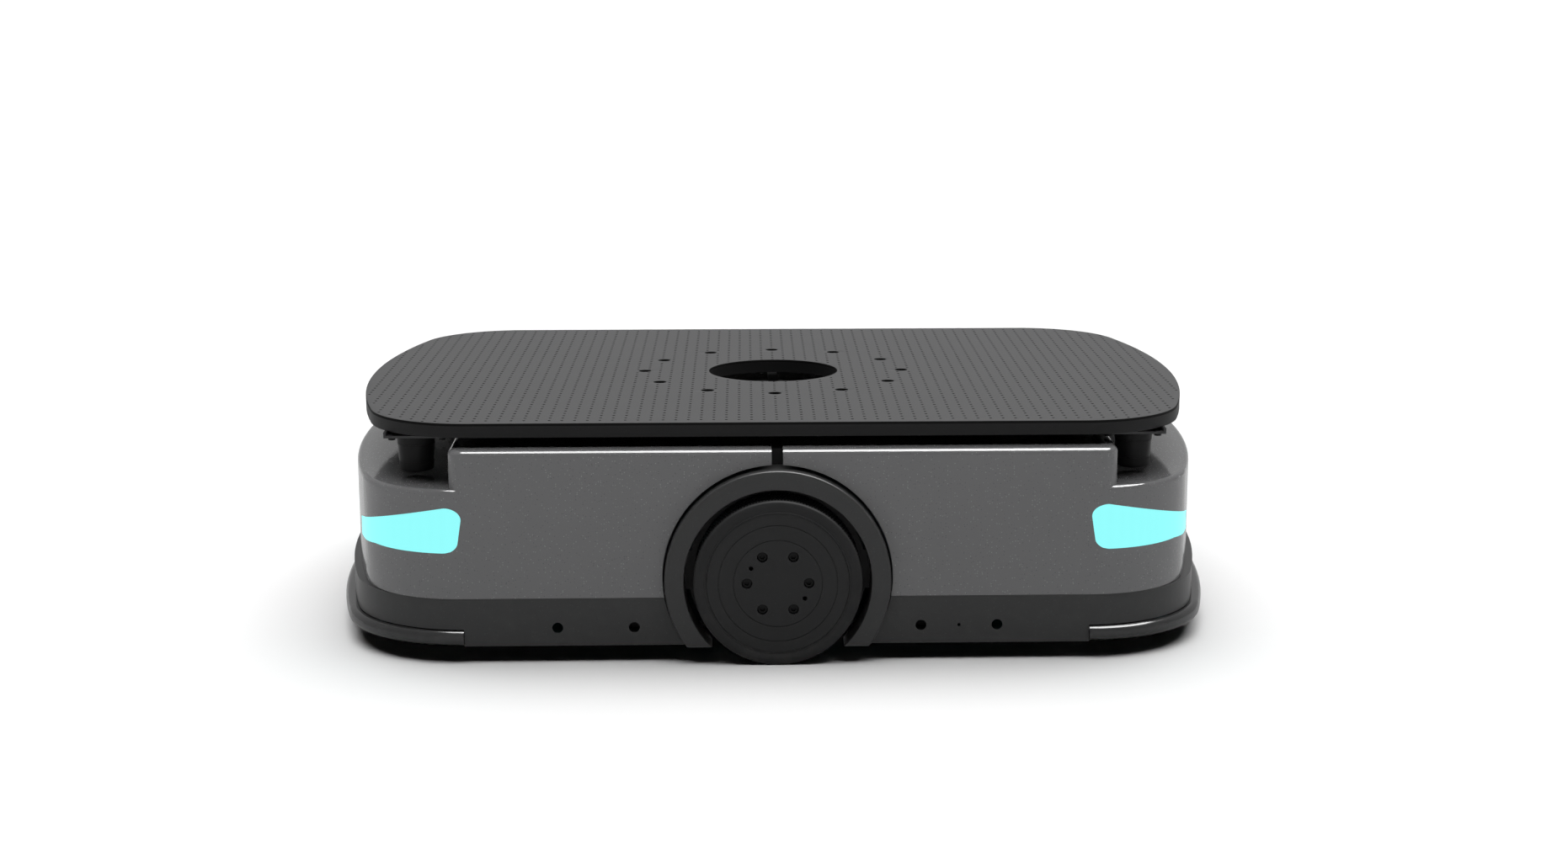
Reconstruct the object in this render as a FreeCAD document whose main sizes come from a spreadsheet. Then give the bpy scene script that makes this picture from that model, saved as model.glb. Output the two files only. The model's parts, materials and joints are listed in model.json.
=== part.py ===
import FreeCAD, Part
import math
import os

import Sketcher
from FreeCAD import Placement, Rotation, Vector

# Low autonomous mobile robot.  Millimetres, +X forward, +Y left, +Z up.
# The origin lies on the floor under the middle of the robot.

SIZES = {
    # drive wheels
    "wheel_radius": (100.0, "drive wheel, axle to tread"),
    "wheel_width": (50.0, "drive wheel tread width"),
    "wheel_stand_out": (20.0, "wheel face outside the side of the covers"),
    "tread_depth": (15.6, "from the tread's surface to the rim"),
    "tyre_round": (3.0, "rounding of the tread edges"),
    "rim_depth": (39.0, "rim, front face to back face"),
    "rim_web": (16.0, "thickness of the rim's web"),
    "rim_barrel": (9.0, "thickness of the rim's barrel"),
    "rim_set_back": (0.8, "rim face behind the tyre face"),
    "groove_width": (0.9, "turned grooves in the rim face"),
    "groove_depth": (0.8, "turned grooves in the rim face"),
    "hub_line": (52.6, "radius of the inner turned groove"),
    "rim_line": (70.5, "radius of the outer turned groove"),
    "wheel_bolt_circle": (36.7, "radius of the wheel's bolt circle"),
    "wheel_bolt_count": (6.0, "screws in each drive wheel"),
    "screw_head": (6.3, "counterbore radius in the rim"),
    "screw_shank": (3.3, "clearance hole radius in the rim"),
    "screw_sink": (9.0, "counterbore depth in the rim"),
    "screw_recess": (1.0, "screw heads below the rim's face"),
    "socket_depth": (4.0, "hexagon socket in the screw heads"),
    "jack_hole": (2.8, "radius of the two jacking holes in the rim"),
    "hub_flange": (48.0, "radius of the hub's flange"),
    "hub_shaft": (20.0, "radius of the hub's shaft"),
    "shaft_length": (36.0, "hub shaft behind its flange"),
    # drive units
    "carrier_margin": (7.0, "round drive carrier plate larger than the wheel"),
    "carrier_plate": (6.0, "thickness of the carrier plate"),
    "carrier_floor": (24.0, "height of the flat under the carrier plate"),
    "carrier_bore": (24.0, "opening for the hub shaft in the carrier"),
    "gearbox_radius": (45.0, "gearbox housing"),
    "gearbox_length": (60.0, "gearbox housing"),
    "gearbox_bore_depth": (34.0, "bearing bore in the gearbox"),
    "motor_radius": (40.0, "motor housing"),
    "motor_length": (118.0, "motor housing"),
    "guide_margin": (28.0, "carrier plate's rim to its guide rods"),
    "guide_set_in": (22.0, "carrier plate's back to its guide rods"),
    "guide_radius": (8.0, "guide rods"),
    "block_width": (34.0, "slide blocks, along the robot"),
    "block_height": (48.0, "slide blocks"),
    "block_drop": (20.0, "wheel axis to the underside of the slide blocks"),
    "spring_wire": (3.2, "spring wire diameter"),
    "spring_turns": (7.0, "turns in each spring"),
    "spring_clear": (2.0, "guide rod to spring wire"),
    # side frames and fenders
    "frame_length": (400.0, "side frame plates"),
    "frame_plate": (6.0, "side frame plate thickness"),
    "frame_set_in": (25.0, "side frame's outer face inside the side of the covers"),
    "frame_head": (14.6, "top of the side frames above the wheel opening"),
    "flange_width": (56.0, "top flange of the side frames"),
    "wheel_opening": (11.4, "wheel to the fender ring, all round"),
    "fender_ring": (23.1, "width of the fender ring"),
    "fender_stand_out": (14.0, "fender ring's face outside the side of the covers"),
    "fender_floor": (21.0, "height of the flat under the fender ring"),
    "fender_round": (2.3, "outer edge of the fender ring"),
    "fender_chamfer": (0.8, "inner edge of the fender ring"),
    # base, beam, posts
    "base_low": (30.0, "underside of the base plate"),
    "base_plate": (6.0, "base plate thickness"),
    "bay_margin": (25.0, "wheel to the ends of its cut-out in the base plate"),
    "bay_depth": (21.0, "wheel's back to the inner edge of its cut-out"),
    "beam_length": (170.0, "centre beam, along the robot"),
    "beam_height": (27.7, "centre beam"),
    "beam_bore": (58.0, "cable opening in the centre beam"),
    "post_radius": (20.0, "deck posts"),
    "post_from_end": (250.0, "end of the covers to the deck posts"),
    "post_from_side": (185.0, "side of the covers to the deck posts"),
    # covers
    "body_length": (1080.0, "covers, end to end"),
    "body_width": (770.0, "covers, side to side"),
    "body_corner": (130.0, "corner radius of the covers"),
    "body_bow": (1100.0, "radius of the bowed ends"),
    "seam_height": (78.4, "top of the skirts, where the covers begin"),
    "block_rise": (46.0, "raised middle above the shelf at each end"),
    "front_shelf": (132.0, "shelf at the front end of the covers"),
    "rear_shelf": (148.0, "shelf at the rear end of the covers"),
    "block_corner": (19.0, "upright corners of the raised middle"),
    "block_bow": (20000.0, "radius of the raised middle's nearly straight ends"),
    "shell_wall": (3.0, "cover and skirt wall"),
    "shelf_round": (6.0, "rounding of the shelf rim"),
    "top_round": (7.0, "rounding of the raised middle's rim"),
    "cover_split": (13.4, "slot between the two covers"),
    "arch_gap": (2.5, "radius of the arch in covers and skirts over the fender ring's"),
    "arch_lift": (2.0, "wheel axle up to the middle of the arch"),
    "cover_opening": (72.0, "round opening in the covers under the deck bore"),
    # lights
    "light_reach": (76.4, "corner to the outer end of a light, across the corner"),
    "light_back_top": (119.6, "corner to the tall end of a light at its top"),
    "light_back_low": (113.1, "corner to the tall end of a light at its bottom"),
    "light_top": (18.5, "shelf down to the tall end of a light, top"),
    "light_low": (76.7, "shelf down to the tall end of a light, bottom"),
    "light_end_top": (61.5, "shelf down to the outer end of a light, top"),
    "light_end_low": (84.5, "shelf down to the outer end of a light, bottom"),
    "light_round": (14.0, "rounding of a light's tall end"),
    "light_tip_round": (2.0, "rounding of a light's outer end"),
    # skirts and bumpers
    "skirt_step": (9.0, "skirts outside the covers at the ends"),
    "skirt_corner": (20.0, "corner radius of the skirts over that of the covers"),
    "skirt_low": (20.5, "underside of the skirts at the sides"),
    "skirt_end_low": (41.0, "underside of the skirts at the ends"),
    "skirt_ledge": (22.0, "inward ledge at the top of the skirts"),
    "bumper_wrap": (176.0, "end of a skirt to its bumper notch"),
    "side_hole": (6.5, "radius of the four locating holes in a side"),
    "side_hole_margin": (34.0, "wheel arch to the nearer locating hole"),
    "side_hole_pitch": (91.0, "between two locating holes"),
    "side_hole_height": (42.4, "height of the locating holes"),
    "vent_hole": (2.0, "radius of the small hole between them"),
    "bumper_step": (12.0, "bumpers outside the skirts at the ends"),
    "bumper_side_step": (4.0, "bumpers outside the skirts at the sides"),
    "bumper_corner": (7.0, "corner radius of the bumpers over that of the skirts"),
    "bumper_bow": (10.0, "end radius of the bumpers over that of the covers"),
    "bumper_low": (21.0, "underside of the bumpers"),
    "bumper_high": (40.0, "top of the bumpers"),
    "bumper_round": (8.0, "rounding of the bumpers"),
    # deck
    "deck_end_step": (12.0, "deck inside the covers at the ends"),
    "deck_side_step": (22.0, "deck inside the covers at the sides"),
    "deck_corner": (130.0, "corner radius of the deck"),
    "deck_bow": (1020.0, "radius of the deck's bowed ends"),
    "deck_gap": (12.2, "top of the covers to the deck"),
    "deck_thickness": (17.0, "plate and top sheet together"),
    "deck_sheet": (3.0, "perforated top sheet"),
    "deck_bore": (85.0, "radius of the centre hole"),
    "deck_bolt_circle": (170.6, "radius of the deck's bolt circle"),
    "deck_bolt_count": (12.0, "holes in the deck's bolt circle"),
    "deck_bolt_hole": (8.0, "radius of those holes"),
    # corner scanners
    "scanner_from_end": (104.4, "end of the covers to a scanner's axis"),
    "scanner_from_side": (95.0, "side of the covers to a scanner's axis"),
    "scanner_top_radius": (23.2, "scanner at its top"),
    "scanner_low_radius": (20.5, "scanner at its bottom"),
    "scanner_clear": (5.0, "shelf to the underside of the scanners"),
    "scanner_round": (4.0, "rounding of the scanners' lower rim"),
    "bracket_length": (78.0, "scanner bracket, along the robot"),
    "bracket_width": (74.0, "scanner bracket, across the robot"),
    "bracket_shift": (5.3, "middle of a bracket inward of its scanner's axis"),
    "bracket_sheet": (3.0, "scanner bracket sheet"),
    "bracket_drop": (7.2, "deck underside to the bracket's underside"),
    "bracket_screw": (2.5, "bracket screw shank radius"),
    "bracket_screw_head": (4.5, "bracket screw head radius"),
    # casters
    "caster_from_end": (140.0, "end of the covers to a caster's swivel axis"),
    "caster_from_side": (155.0, "side of the covers to a caster's swivel axis"),
    "caster_radius": (37.5, "caster wheel"),
    "caster_width": (28.0, "caster wheel"),
    "caster_trail": (28.0, "caster axle behind the swivel axis"),
    "caster_housing": (81.0, "outer radius of the caster housing"),
    "caster_well": (75.0, "radius of the caster housing's well"),
    "caster_roof": (106.0, "underside of the caster housing's roof"),
    "roof_plate": (6.0, "caster housing roof"),
    "stem_radius": (10.0, "swivel stem"),
    "nut_radius": (16.0, "nut on the swivel stem"),
    "fork_disc": (28.0, "radius of the fork's head"),
    "fork_plate": (4.0, "fork leg thickness"),
    "fork_leg": (26.0, "fork leg width"),
    "axle_radius": (5.0, "caster axle"),
    # inside
    "battery_length": (230.0, "battery pack"),
    "battery_margin": (30.0, "battery pack to the deck posts, across the robot"),
    "battery_height": (150.0, "battery pack"),
    "battery_x": (165.0, "middle of the battery pack"),
    "controller_length": (200.0, "controller housing"),
    "controller_width": (280.0, "controller housing"),
    "controller_height": (110.0, "controller housing"),
    "controller_x": (-170.0, "middle of the controller housing"),
    "driver_length": (90.0, "motor driver"),
    "driver_width": (100.0, "motor driver"),
    "driver_height": (50.0, "motor driver"),
    "driver_y": (70.0, "middle of the robot to the middle of a motor driver"),
    # rear control panel and charging contacts
    "panel_width": (164.0, "control panel"),
    "panel_height": (69.0, "control panel"),
    "panel_mid": (147.5, "height of the control panel's middle"),
    "panel_plate": (6.0, "control panel plate"),
    "panel_set_in": (6.4, "panel's face inside the end of the rear cover"),
    "panel_reveal": (7.0, "panel plate hidden behind the cover all round"),
    "button_offset": (35.0, "robot's middle line to each button"),
    "stop_radius": (19.0, "emergency stop head"),
    "stop_head": (8.0, "emergency stop head"),
    "stop_travel": (5.0, "emergency stop"),
    "stem_button": (6.0, "emergency stop stem radius"),
    "power_radius": (9.7, "power button"),
    "power_travel": (2.0, "power button"),
    "bezel_radius": (13.0, "power button bezel"),
    "button_depth": (22.0, "button bores behind the panel's face"),
    "charge_width": (110.0, "charging block nose"),
    "charge_height": (18.0, "charging block nose"),
    "charge_low": (50.0, "underside of the charging block nose"),
    "charge_set_in": (2.4, "nose's face inside the end of the rear skirt"),
    "charge_pad": (34.0, "width of a charging pad"),
    # clearances
    "gap": (0.3, "between pieces that are seated but not joined"),
    "running_fit": (0.05, "radial clearance of turning and sliding fits"),
    "wheel_gap": (3.0, "wheel to carrier plate"),
}


class Size:
    """A length with its value and the spreadsheet formula that gives it."""

    def __init__(self, value, text):
        self.value = float(value)
        self.text = text

    @staticmethod
    def of(item):
        return item if isinstance(item, Size) else Size(item, repr(float(item)))

    def __float__(self):
        return self.value

    def __add__(self, other):
        other = Size.of(other)
        return Size(self.value + other.value, f"({self.text} + {other.text})")

    def __sub__(self, other):
        other = Size.of(other)
        return Size(self.value - other.value, f"({self.text} - {other.text})")

    def __mul__(self, other):
        other = Size.of(other)
        return Size(self.value * other.value, f"({self.text} * {other.text})")

    def __truediv__(self, other):
        other = Size.of(other)
        return Size(self.value / other.value, f"({self.text} / {other.text})")

    def __neg__(self):
        return self * -1

    def __radd__(self, other):
        return Size.of(other) + self

    def __rsub__(self, other):
        return Size.of(other) - self

    def __rmul__(self, other):
        return Size.of(other) * self


class Outline:
    """A plan outline with straight sides, round corners and bowed ends."""

    def __init__(self, half_length, half_width, corner, bow):
        self.half_length = half_length
        self.half_width = half_width
        self.corner = corner
        self.bow = bow

    def inset(self, distance):
        return Outline(
            self.half_length - distance,
            self.half_width - distance,
            self.corner - distance,
            self.bow - distance,
        )


def fill_sheet(document):
    """Write every driving size into the spreadsheet."""
    table = document.addObject("Spreadsheet::Sheet", "Sizes")
    for row, (name, (value, note)) in enumerate(SIZES.items(), start=1):
        table.set(f"A{row}", name)
        table.set(f"B{row}", str(value))
        table.set(f"C{row}", note)
        table.setAlias(f"B{row}", name)
    document.recompute()
    return table


doc = FreeCAD.newDocument("mobile_robot")
sheet = fill_sheet(doc)


class Sizes:
    """Reads a driving size from the sheet by its name."""

    def __getattr__(self, name):
        return Size(getattr(sheet, name), f"Sizes.{name}")


S = Sizes()
NODES = []


def bind(item, prop, size):
    """Tie a property to its formula in the sheet."""
    item.setExpression(prop, Size.of(size).text)


def place(item, x=0, y=0, z=0, rotation=None):
    """Put an object at a bound position, with an optional rotation."""
    item.Placement = Placement(Vector(0, 0, 0), rotation or Rotation())
    for axis, size in zip("xyz", (x, y, z)):
        if isinstance(size, Size) or size:
            bind(item, f"Placement.Base.{axis}", size)


def node(item, label):
    """Name a finished sub-part; its label becomes its file name."""
    item.Label = label
    NODES.append(item)
    return item


# ---------------------------------------------------------------- primitives


def box(name, size, corner):
    """A box from its three sizes and its lowest corner."""
    item = doc.addObject("Part::Box", name)
    for prop, value in zip(("Length", "Width", "Height"), size):
        bind(item, prop, value)
    place(item, *corner)
    return item


def box_about(name, size, x, y, low):
    """A box centred on x and y that stands on the height low."""
    return box(name, size, (x - size[0] / 2, y - size[1] / 2, low))


def cylinder(name, radius, length, start, along="z"):
    """A cylinder from its start point along x, y or z, or against them."""
    turns = {
        "z": Rotation(),
        "x": Rotation(Vector(0, 1, 0), 90),
        "y": Rotation(Vector(1, 0, 0), -90),
        "-x": Rotation(Vector(0, 1, 0), -90),
        "-y": Rotation(Vector(1, 0, 0), 90),
    }
    item = doc.addObject("Part::Cylinder", name)
    bind(item, "Radius", radius)
    bind(item, "Height", length)
    place(item, *start, rotation=turns[along])
    return item


def fuse(name, items):
    item = doc.addObject("Part::MultiFuse", name)
    item.Shapes = items
    return item


def group(name, items):
    """Several separate solids kept as one sub-part."""
    item = doc.addObject("Part::Compound", name)
    item.Links = items
    return item


def cut(name, base, tools):
    item = doc.addObject("Part::Cut", name)
    item.Base = base
    item.Tool = tools[0] if len(tools) == 1 else fuse(name + "_tools", tools)
    return item


def common(name, first, second):
    item = doc.addObject("Part::Common", name)
    item.Base = first
    item.Tool = second
    return item


# ------------------------------------------------------------ bodies, sketches


def body(name):
    return doc.addObject("PartDesign::Body", name)


def sketch(owner, name, plane, offset=0):
    """A sketch on one of the body's origin planes, moved along its normal."""
    item = owner.newObject("Sketcher::SketchObject", name)
    features = owner.Origin.OriginFeatures
    support = next(feature for feature in features if feature.Role == plane)
    item.AttachmentSupport = (support, [""])
    item.MapMode = "FlatFace"
    if isinstance(offset, Size) or offset:
        bind(item, "AttachmentOffset.Base.z", offset)
    return item


def measure(item, kind, *where, size):
    """Add a bound dimension to a sketch; a negative one is turned round."""
    size = Size.of(size)
    if size.value < 0 and kind in ("DistanceX", "DistanceY"):
        size = -size
        where = where[2:] + where[:2]
    index = item.addConstraint(Sketcher.Constraint(kind, *where, size.value))
    label = f"size_{index}"
    item.renameConstraint(index, label)
    item.setExpression(f"Constraints.{label}", size.text)


def put_point(item, piece, point, x, y):
    """Fix one point of a sketch piece from the sketch's origin."""
    for kind, size, axis in (("DistanceX", x, -2), ("DistanceY", y, -1)):
        if abs(float(size)) < 1e-9:
            item.addConstraint(Sketcher.Constraint("PointOnObject", piece, point, axis))
        else:
            measure(item, kind, -1, 1, piece, point, size=size)


def circle(item, radius, x=0, y=0):
    centre = Vector(float(x), float(y), 0)
    piece = item.addGeometry(Part.Circle(centre, Vector(0, 0, 1), float(radius)), False)
    put_point(item, piece, 3, x, y)
    measure(item, "Radius", piece, size=radius)


def polygon(item, points):
    """A closed run of straight lines through bound points."""
    places = [Vector(float(x), float(y), 0) for x, y in points]
    count = len(points)
    first = None
    for index in range(count):
        line = Part.LineSegment(places[index], places[(index + 1) % count])
        piece = item.addGeometry(line, False)
        first = piece if first is None else first
    for index, (x, y) in enumerate(points):
        following = (index + 1) % count
        join = Sketcher.Constraint("Coincident", first + index, 2, first + following, 1)
        item.addConstraint(join)
        put_point(item, first + index, 1, x, y)


def rectangle(item, x_low, x_high, y_low, y_high):
    polygon(item, [(x_low, y_low), (x_high, y_low), (x_high, y_high), (x_low, y_high)])


def draw_outline(item, outline):
    """Two straight sides, two bowed ends and four corners, all tangent."""
    length, width = float(outline.half_length), float(outline.half_width)
    corner, bow = float(outline.corner), float(outline.bow)
    end_x = length - bow
    corner_y = width - corner
    corner_x = end_x + math.sqrt((bow - corner) ** 2 - corner_y**2)
    turn = math.atan2(corner_y, corner_x - end_x)
    quarter = math.pi / 2

    def arc(x, y, radius, start, stop):
        ring = Part.Circle(Vector(x, y, 0), Vector(0, 0, 1), radius)
        return item.addGeometry(Part.ArcOfCircle(ring, start, stop), False)

    def line(start_x, stop_x, y):
        ends = (Vector(start_x, y, 0), Vector(stop_x, y, 0))
        return item.addGeometry(Part.LineSegment(*ends), False)

    front = arc(end_x, 0, bow, -turn, turn)
    front_left = arc(corner_x, corner_y, corner, turn, quarter)
    left = line(corner_x, -corner_x, width)
    rear_left = arc(-corner_x, corner_y, corner, quarter, 2 * quarter - turn)
    rear = arc(-end_x, 0, bow, 2 * quarter - turn, 2 * quarter + turn)
    rear_right = arc(-corner_x, -corner_y, corner, 2 * quarter + turn, 3 * quarter)
    right = line(-corner_x, corner_x, -width)
    front_right = arc(corner_x, -corner_y, corner, 3 * quarter, 4 * quarter - turn)
    loop = [front, front_left, left, rear_left, rear, rear_right, right, front_right]
    for piece, following in zip(loop, loop[1:] + loop[:1]):
        item.addConstraint(Sketcher.Constraint("Tangent", piece, 2, following, 1))
    for piece in (rear_left, rear_right, front_right):
        item.addConstraint(Sketcher.Constraint("Equal", front_left, piece))
    item.addConstraint(Sketcher.Constraint("Equal", front, rear))
    for piece in (left, right):
        item.addConstraint(Sketcher.Constraint("Horizontal", piece))
    for piece in (front, rear):
        item.addConstraint(Sketcher.Constraint("PointOnObject", piece, 3, -1))
    centre_x = outline.half_length - outline.bow
    measure(item, "Radius", front_left, size=outline.corner)
    measure(item, "Radius", front, size=outline.bow)
    measure(item, "DistanceX", -1, 1, front, 3, size=centre_x)
    measure(item, "DistanceX", -1, 1, rear, 3, size=-centre_x)
    measure(item, "DistanceY", -1, 1, left, 1, size=outline.half_width)
    measure(item, "DistanceY", -1, 1, right, 1, size=-outline.half_width)


def pad(owner, name, profile, length, reverse=False):
    item = owner.newObject("PartDesign::Pad", name)
    item.Profile = profile
    bind(item, "Length", length)
    item.Reversed = reverse
    return item


def pocket(owner, name, profile, length=None, reverse=False, both=False):
    """Cut a profile to a depth, or through everything when none is given."""
    item = owner.newObject("PartDesign::Pocket", name)
    item.Profile = profile
    if length is None:
        item.Type = 1
    else:
        bind(item, "Length", length)
    item.Midplane = both
    item.Reversed = reverse
    return item


def turned(name, profile, rotation, base):
    """A body turned about its own axis; the profile runs in radius and height."""
    owner = body(name)
    face = sketch(owner, name + "_profile", "XZ_Plane")
    polygon(face, profile)
    spin = owner.newObject("PartDesign::Revolution", name + "_turn")
    spin.Profile = face
    spin.ReferenceAxis = (face, ["V_Axis"])
    spin.Angle = 360
    place(owner, *base, rotation=rotation)
    return owner


def dress(owner, kind, name, feature, edges, amount):
    """Fillet or chamfer the chosen edges of a feature."""
    item = owner.newObject("PartDesign::" + kind, name)
    item.Base = (feature, edges)
    bind(item, "Radius" if kind == "Fillet" else "Size", amount)
    return item


def edges_at(feature, test):
    """Names of the edges whose middle passes a test."""
    doc.recompute()
    names = []
    for index, edge in enumerate(feature.Shape.Edges, start=1):
        middle = edge.valueAt((edge.FirstParameter + edge.LastParameter) / 2)
        if test(middle, edge):
            names.append(f"Edge{index}")
    return names


def level(height):
    """A test for edges that lie flat at one height."""

    def flat(middle, edge):
        box_of_edge = edge.BoundBox
        return box_of_edge.ZLength < 1e-4 and abs(middle.z - float(height)) < 1e-3

    return flat


OUTWARD = {1: Rotation(Vector(1, 0, 0), -90), -1: Rotation(Vector(1, 0, 0), 90)}
SIDES = {"left": 1, "right": -1}
ENDS = {"front": 1, "rear": -1}
HALF_LENGTH = S.body_length / 2
HALF_WIDTH = S.body_width / 2
BASE_TOP = S.base_low + S.base_plate
WHEEL_FACE = HALF_WIDTH + S.wheel_stand_out
WHEEL_BACK = WHEEL_FACE - S.wheel_width
TYRE_INNER = S.wheel_radius - S.tread_depth
CARRIER_RADIUS = S.wheel_radius + S.carrier_margin
CARRIER_FACE = WHEEL_BACK - S.wheel_gap
CARRIER_BACK = CARRIER_FACE - S.carrier_plate
GUIDE_X = CARRIER_RADIUS + S.guide_margin
GUIDE_Y = CARRIER_BACK - S.guide_set_in
BLOCK_LOW = S.wheel_radius - S.block_drop
FENDER_INNER = S.wheel_radius + S.wheel_opening
FENDER_OUTER = FENDER_INNER + S.fender_ring
FENDER_FACE = HALF_WIDTH + S.fender_stand_out
FENDER_MEAN_WIDTH = FENDER_INNER + FENDER_OUTER
ARCH_RADIUS = FENDER_OUTER + S.arch_gap
ARCH_HEIGHT = S.wheel_radius + S.arch_lift
FRAME_FACE = HALF_WIDTH - S.frame_set_in
FRAME_TOP = S.wheel_radius + FENDER_INNER + S.frame_head
COVER_TOP = FRAME_TOP + S.beam_height + S.gap + S.shell_wall
SHELF = COVER_TOP - S.block_rise
DECK_LOW = COVER_TOP + S.deck_gap
POST_X = HALF_LENGTH - S.post_from_end
POST_Y = HALF_WIDTH - S.post_from_side
SCANNER_X = HALF_LENGTH - S.scanner_from_end
SCANNER_Y = HALF_WIDTH - S.scanner_from_side
CASTER_X = HALF_LENGTH - S.caster_from_end
CASTER_Y = HALF_WIDTH - S.caster_from_side
LIGHT_CORNER = (HALF_LENGTH - HALF_WIDTH) / math.sqrt(2)
SKIRT_END = HALF_LENGTH + S.skirt_step
BUMPER_END = SKIRT_END + S.bumper_step
BUMPER_SIDE = HALF_WIDTH + S.bumper_side_step
NOTCH = SKIRT_END - S.bumper_wrap
SIDE_HOLE = ARCH_RADIUS + S.side_hole_margin
PANEL_FACE = HALF_LENGTH - S.panel_set_in
CHARGE_FACE = SKIRT_END - S.charge_set_in
SKIRT = Outline(SKIRT_END, HALF_WIDTH, S.body_corner + S.skirt_corner, S.body_bow)
COVER = Outline(HALF_LENGTH, HALF_WIDTH, S.body_corner, S.body_bow)
BLOCKS = {
    "front": Outline(HALF_LENGTH - S.front_shelf, HALF_WIDTH, S.block_corner, S.block_bow),
    "rear": Outline(HALF_LENGTH - S.rear_shelf, HALF_WIDTH, S.block_corner, S.block_bow),
}
DECK = Outline(
    HALF_LENGTH - S.deck_end_step, HALF_WIDTH - S.deck_side_step, S.deck_corner, S.deck_bow
)
BUMPER = Outline(
    BUMPER_END, BUMPER_SIDE, SKIRT.corner + S.bumper_corner, S.body_bow + S.bumper_bow
)
CASTERS = {
    "front_left": (1, 1),
    "front_right": (1, -1),
    "rear_left": (-1, 1),
    "rear_right": (-1, -1),
}


def caster_places():
    return [(CASTER_X * x, CASTER_Y * y) for x, y in CASTERS.values()]


def post_places():
    return [(POST_X * x, POST_Y * y) for x, y in CASTERS.values()]


def make_base_plate():
    """Steel floor with wheel bays and caster openings."""
    owner = body("base_plate")
    plan = sketch(owner, "base_outline", "XY_Plane", S.base_low)
    draw_outline(plan, SKIRT.inset(S.shell_wall + S.gap))
    pad(owner, "base_pad", plan, S.base_plate)
    wells = sketch(owner, "base_wells", "XY_Plane", S.base_low)
    for x, y in caster_places():
        circle(wells, S.caster_well, x, y)
    pocket(owner, "base_well_cut", wells, reverse=True)
    bays = sketch(owner, "base_bays", "XY_Plane", S.base_low)
    for side in SIDES.values():
        inner, outer = (WHEEL_BACK - S.bay_depth) * side, HALF_WIDTH * side
        low, high = (inner, outer) if side > 0 else (outer, inner)
        reach = S.wheel_radius + S.bay_margin
        rectangle(bays, -reach, reach, low, high)
    pocket(owner, "base_bay_cut", bays, reverse=True)
    node(owner, "base_plate")


def make_side_frame(name, side):
    """Upright plate with the wheel opening and the guide rods' top flange."""
    plate = box(
        f"side_plate_{name}",
        (S.frame_length, S.frame_plate, FRAME_TOP - BASE_TOP),
        (
            -S.frame_length / 2,
            FRAME_FACE - S.frame_plate if side > 0 else -FRAME_FACE,
            BASE_TOP,
        ),
    )
    flange_inner = FRAME_FACE - S.frame_plate - S.flange_width
    flange = box(
        f"side_flange_{name}",
        (S.frame_length, S.flange_width + S.frame_plate, S.frame_plate),
        (
            -S.frame_length / 2,
            flange_inner if side > 0 else -FRAME_FACE,
            FRAME_TOP - S.frame_plate,
        ),
    )
    opening = cylinder(
        f"side_opening_{name}",
        FENDER_INNER,
        S.frame_plate * 3,
        (0, (FRAME_FACE + S.frame_plate) * side, S.wheel_radius),
        "-y" if side > 0 else "y",
    )
    frame = fuse(f"side_frame_blank_{name}", [plate, flange])
    node(cut(f"side_frame_{name}", frame, [opening]), f"side_frame_{name}")


def make_centre_beam():
    """Dark beam across the robot under the slot between the covers."""
    beam = box_about(
        "beam_blank", (S.beam_length, FRAME_FACE * 2, S.beam_height), 0, 0, FRAME_TOP
    )
    bore = cylinder("beam_bore", S.beam_bore, S.beam_height, (0, 0, FRAME_TOP))
    node(cut("centre_beam", beam, [bore]), "centre_beam")


def make_deck_posts():
    """Four posts that carry the deck on the base plate."""
    posts = [
        cylinder(f"post_{index}", S.post_radius, DECK_LOW - BASE_TOP, (x, y, BASE_TOP))
        for index, (x, y) in enumerate(post_places(), start=1)
    ]
    node(group("deck_posts", posts), "deck_posts")


def make_deck():
    """Deck plate and its top sheet, with the centre hole and bolt circle."""
    layers = {
        "deck_plate": (DECK_LOW, S.deck_thickness - S.deck_sheet),
        "deck_top_sheet": (DECK_LOW + S.deck_thickness - S.deck_sheet, S.deck_sheet),
    }
    for label, (low, thickness) in layers.items():
        owner = body(label)
        plan = sketch(owner, label + "_outline", "XY_Plane", low)
        draw_outline(plan, DECK)
        circle(plan, S.deck_bore)
        pad(owner, label + "_pad", plan, thickness)
        hole = sketch(owner, label + "_hole", "XY_Plane", low)
        circle(hole, S.deck_bolt_hole, S.deck_bolt_circle, 0)
        first = pocket(owner, label + "_hole_cut", hole, reverse=True)
        ring = owner.newObject("PartDesign::PolarPattern", label + "_bolt_circle")
        ring.Originals = [first]
        ring.Axis = (hole, ["N_Axis"])
        ring.Angle = 360
        bind(ring, "Occurrences", S.deck_bolt_count)
        owner.Tip = ring
        node(owner, label)


def light_profile(hand, growth):
    """Corner points of a light in its diagonal view, with a margin all round."""
    points = [
        (-S.light_back_low - growth, S.light_low + growth),
        (Size.of(0), S.light_low + growth),
        (S.light_reach + growth, S.light_end_low + growth),
        (S.light_reach + growth, S.light_end_top - growth),
        (-S.light_back_top - growth, S.light_top - growth),
    ]
    return [((LIGHT_CORNER + across) * hand, SHELF - drop) for across, drop in points]


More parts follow.
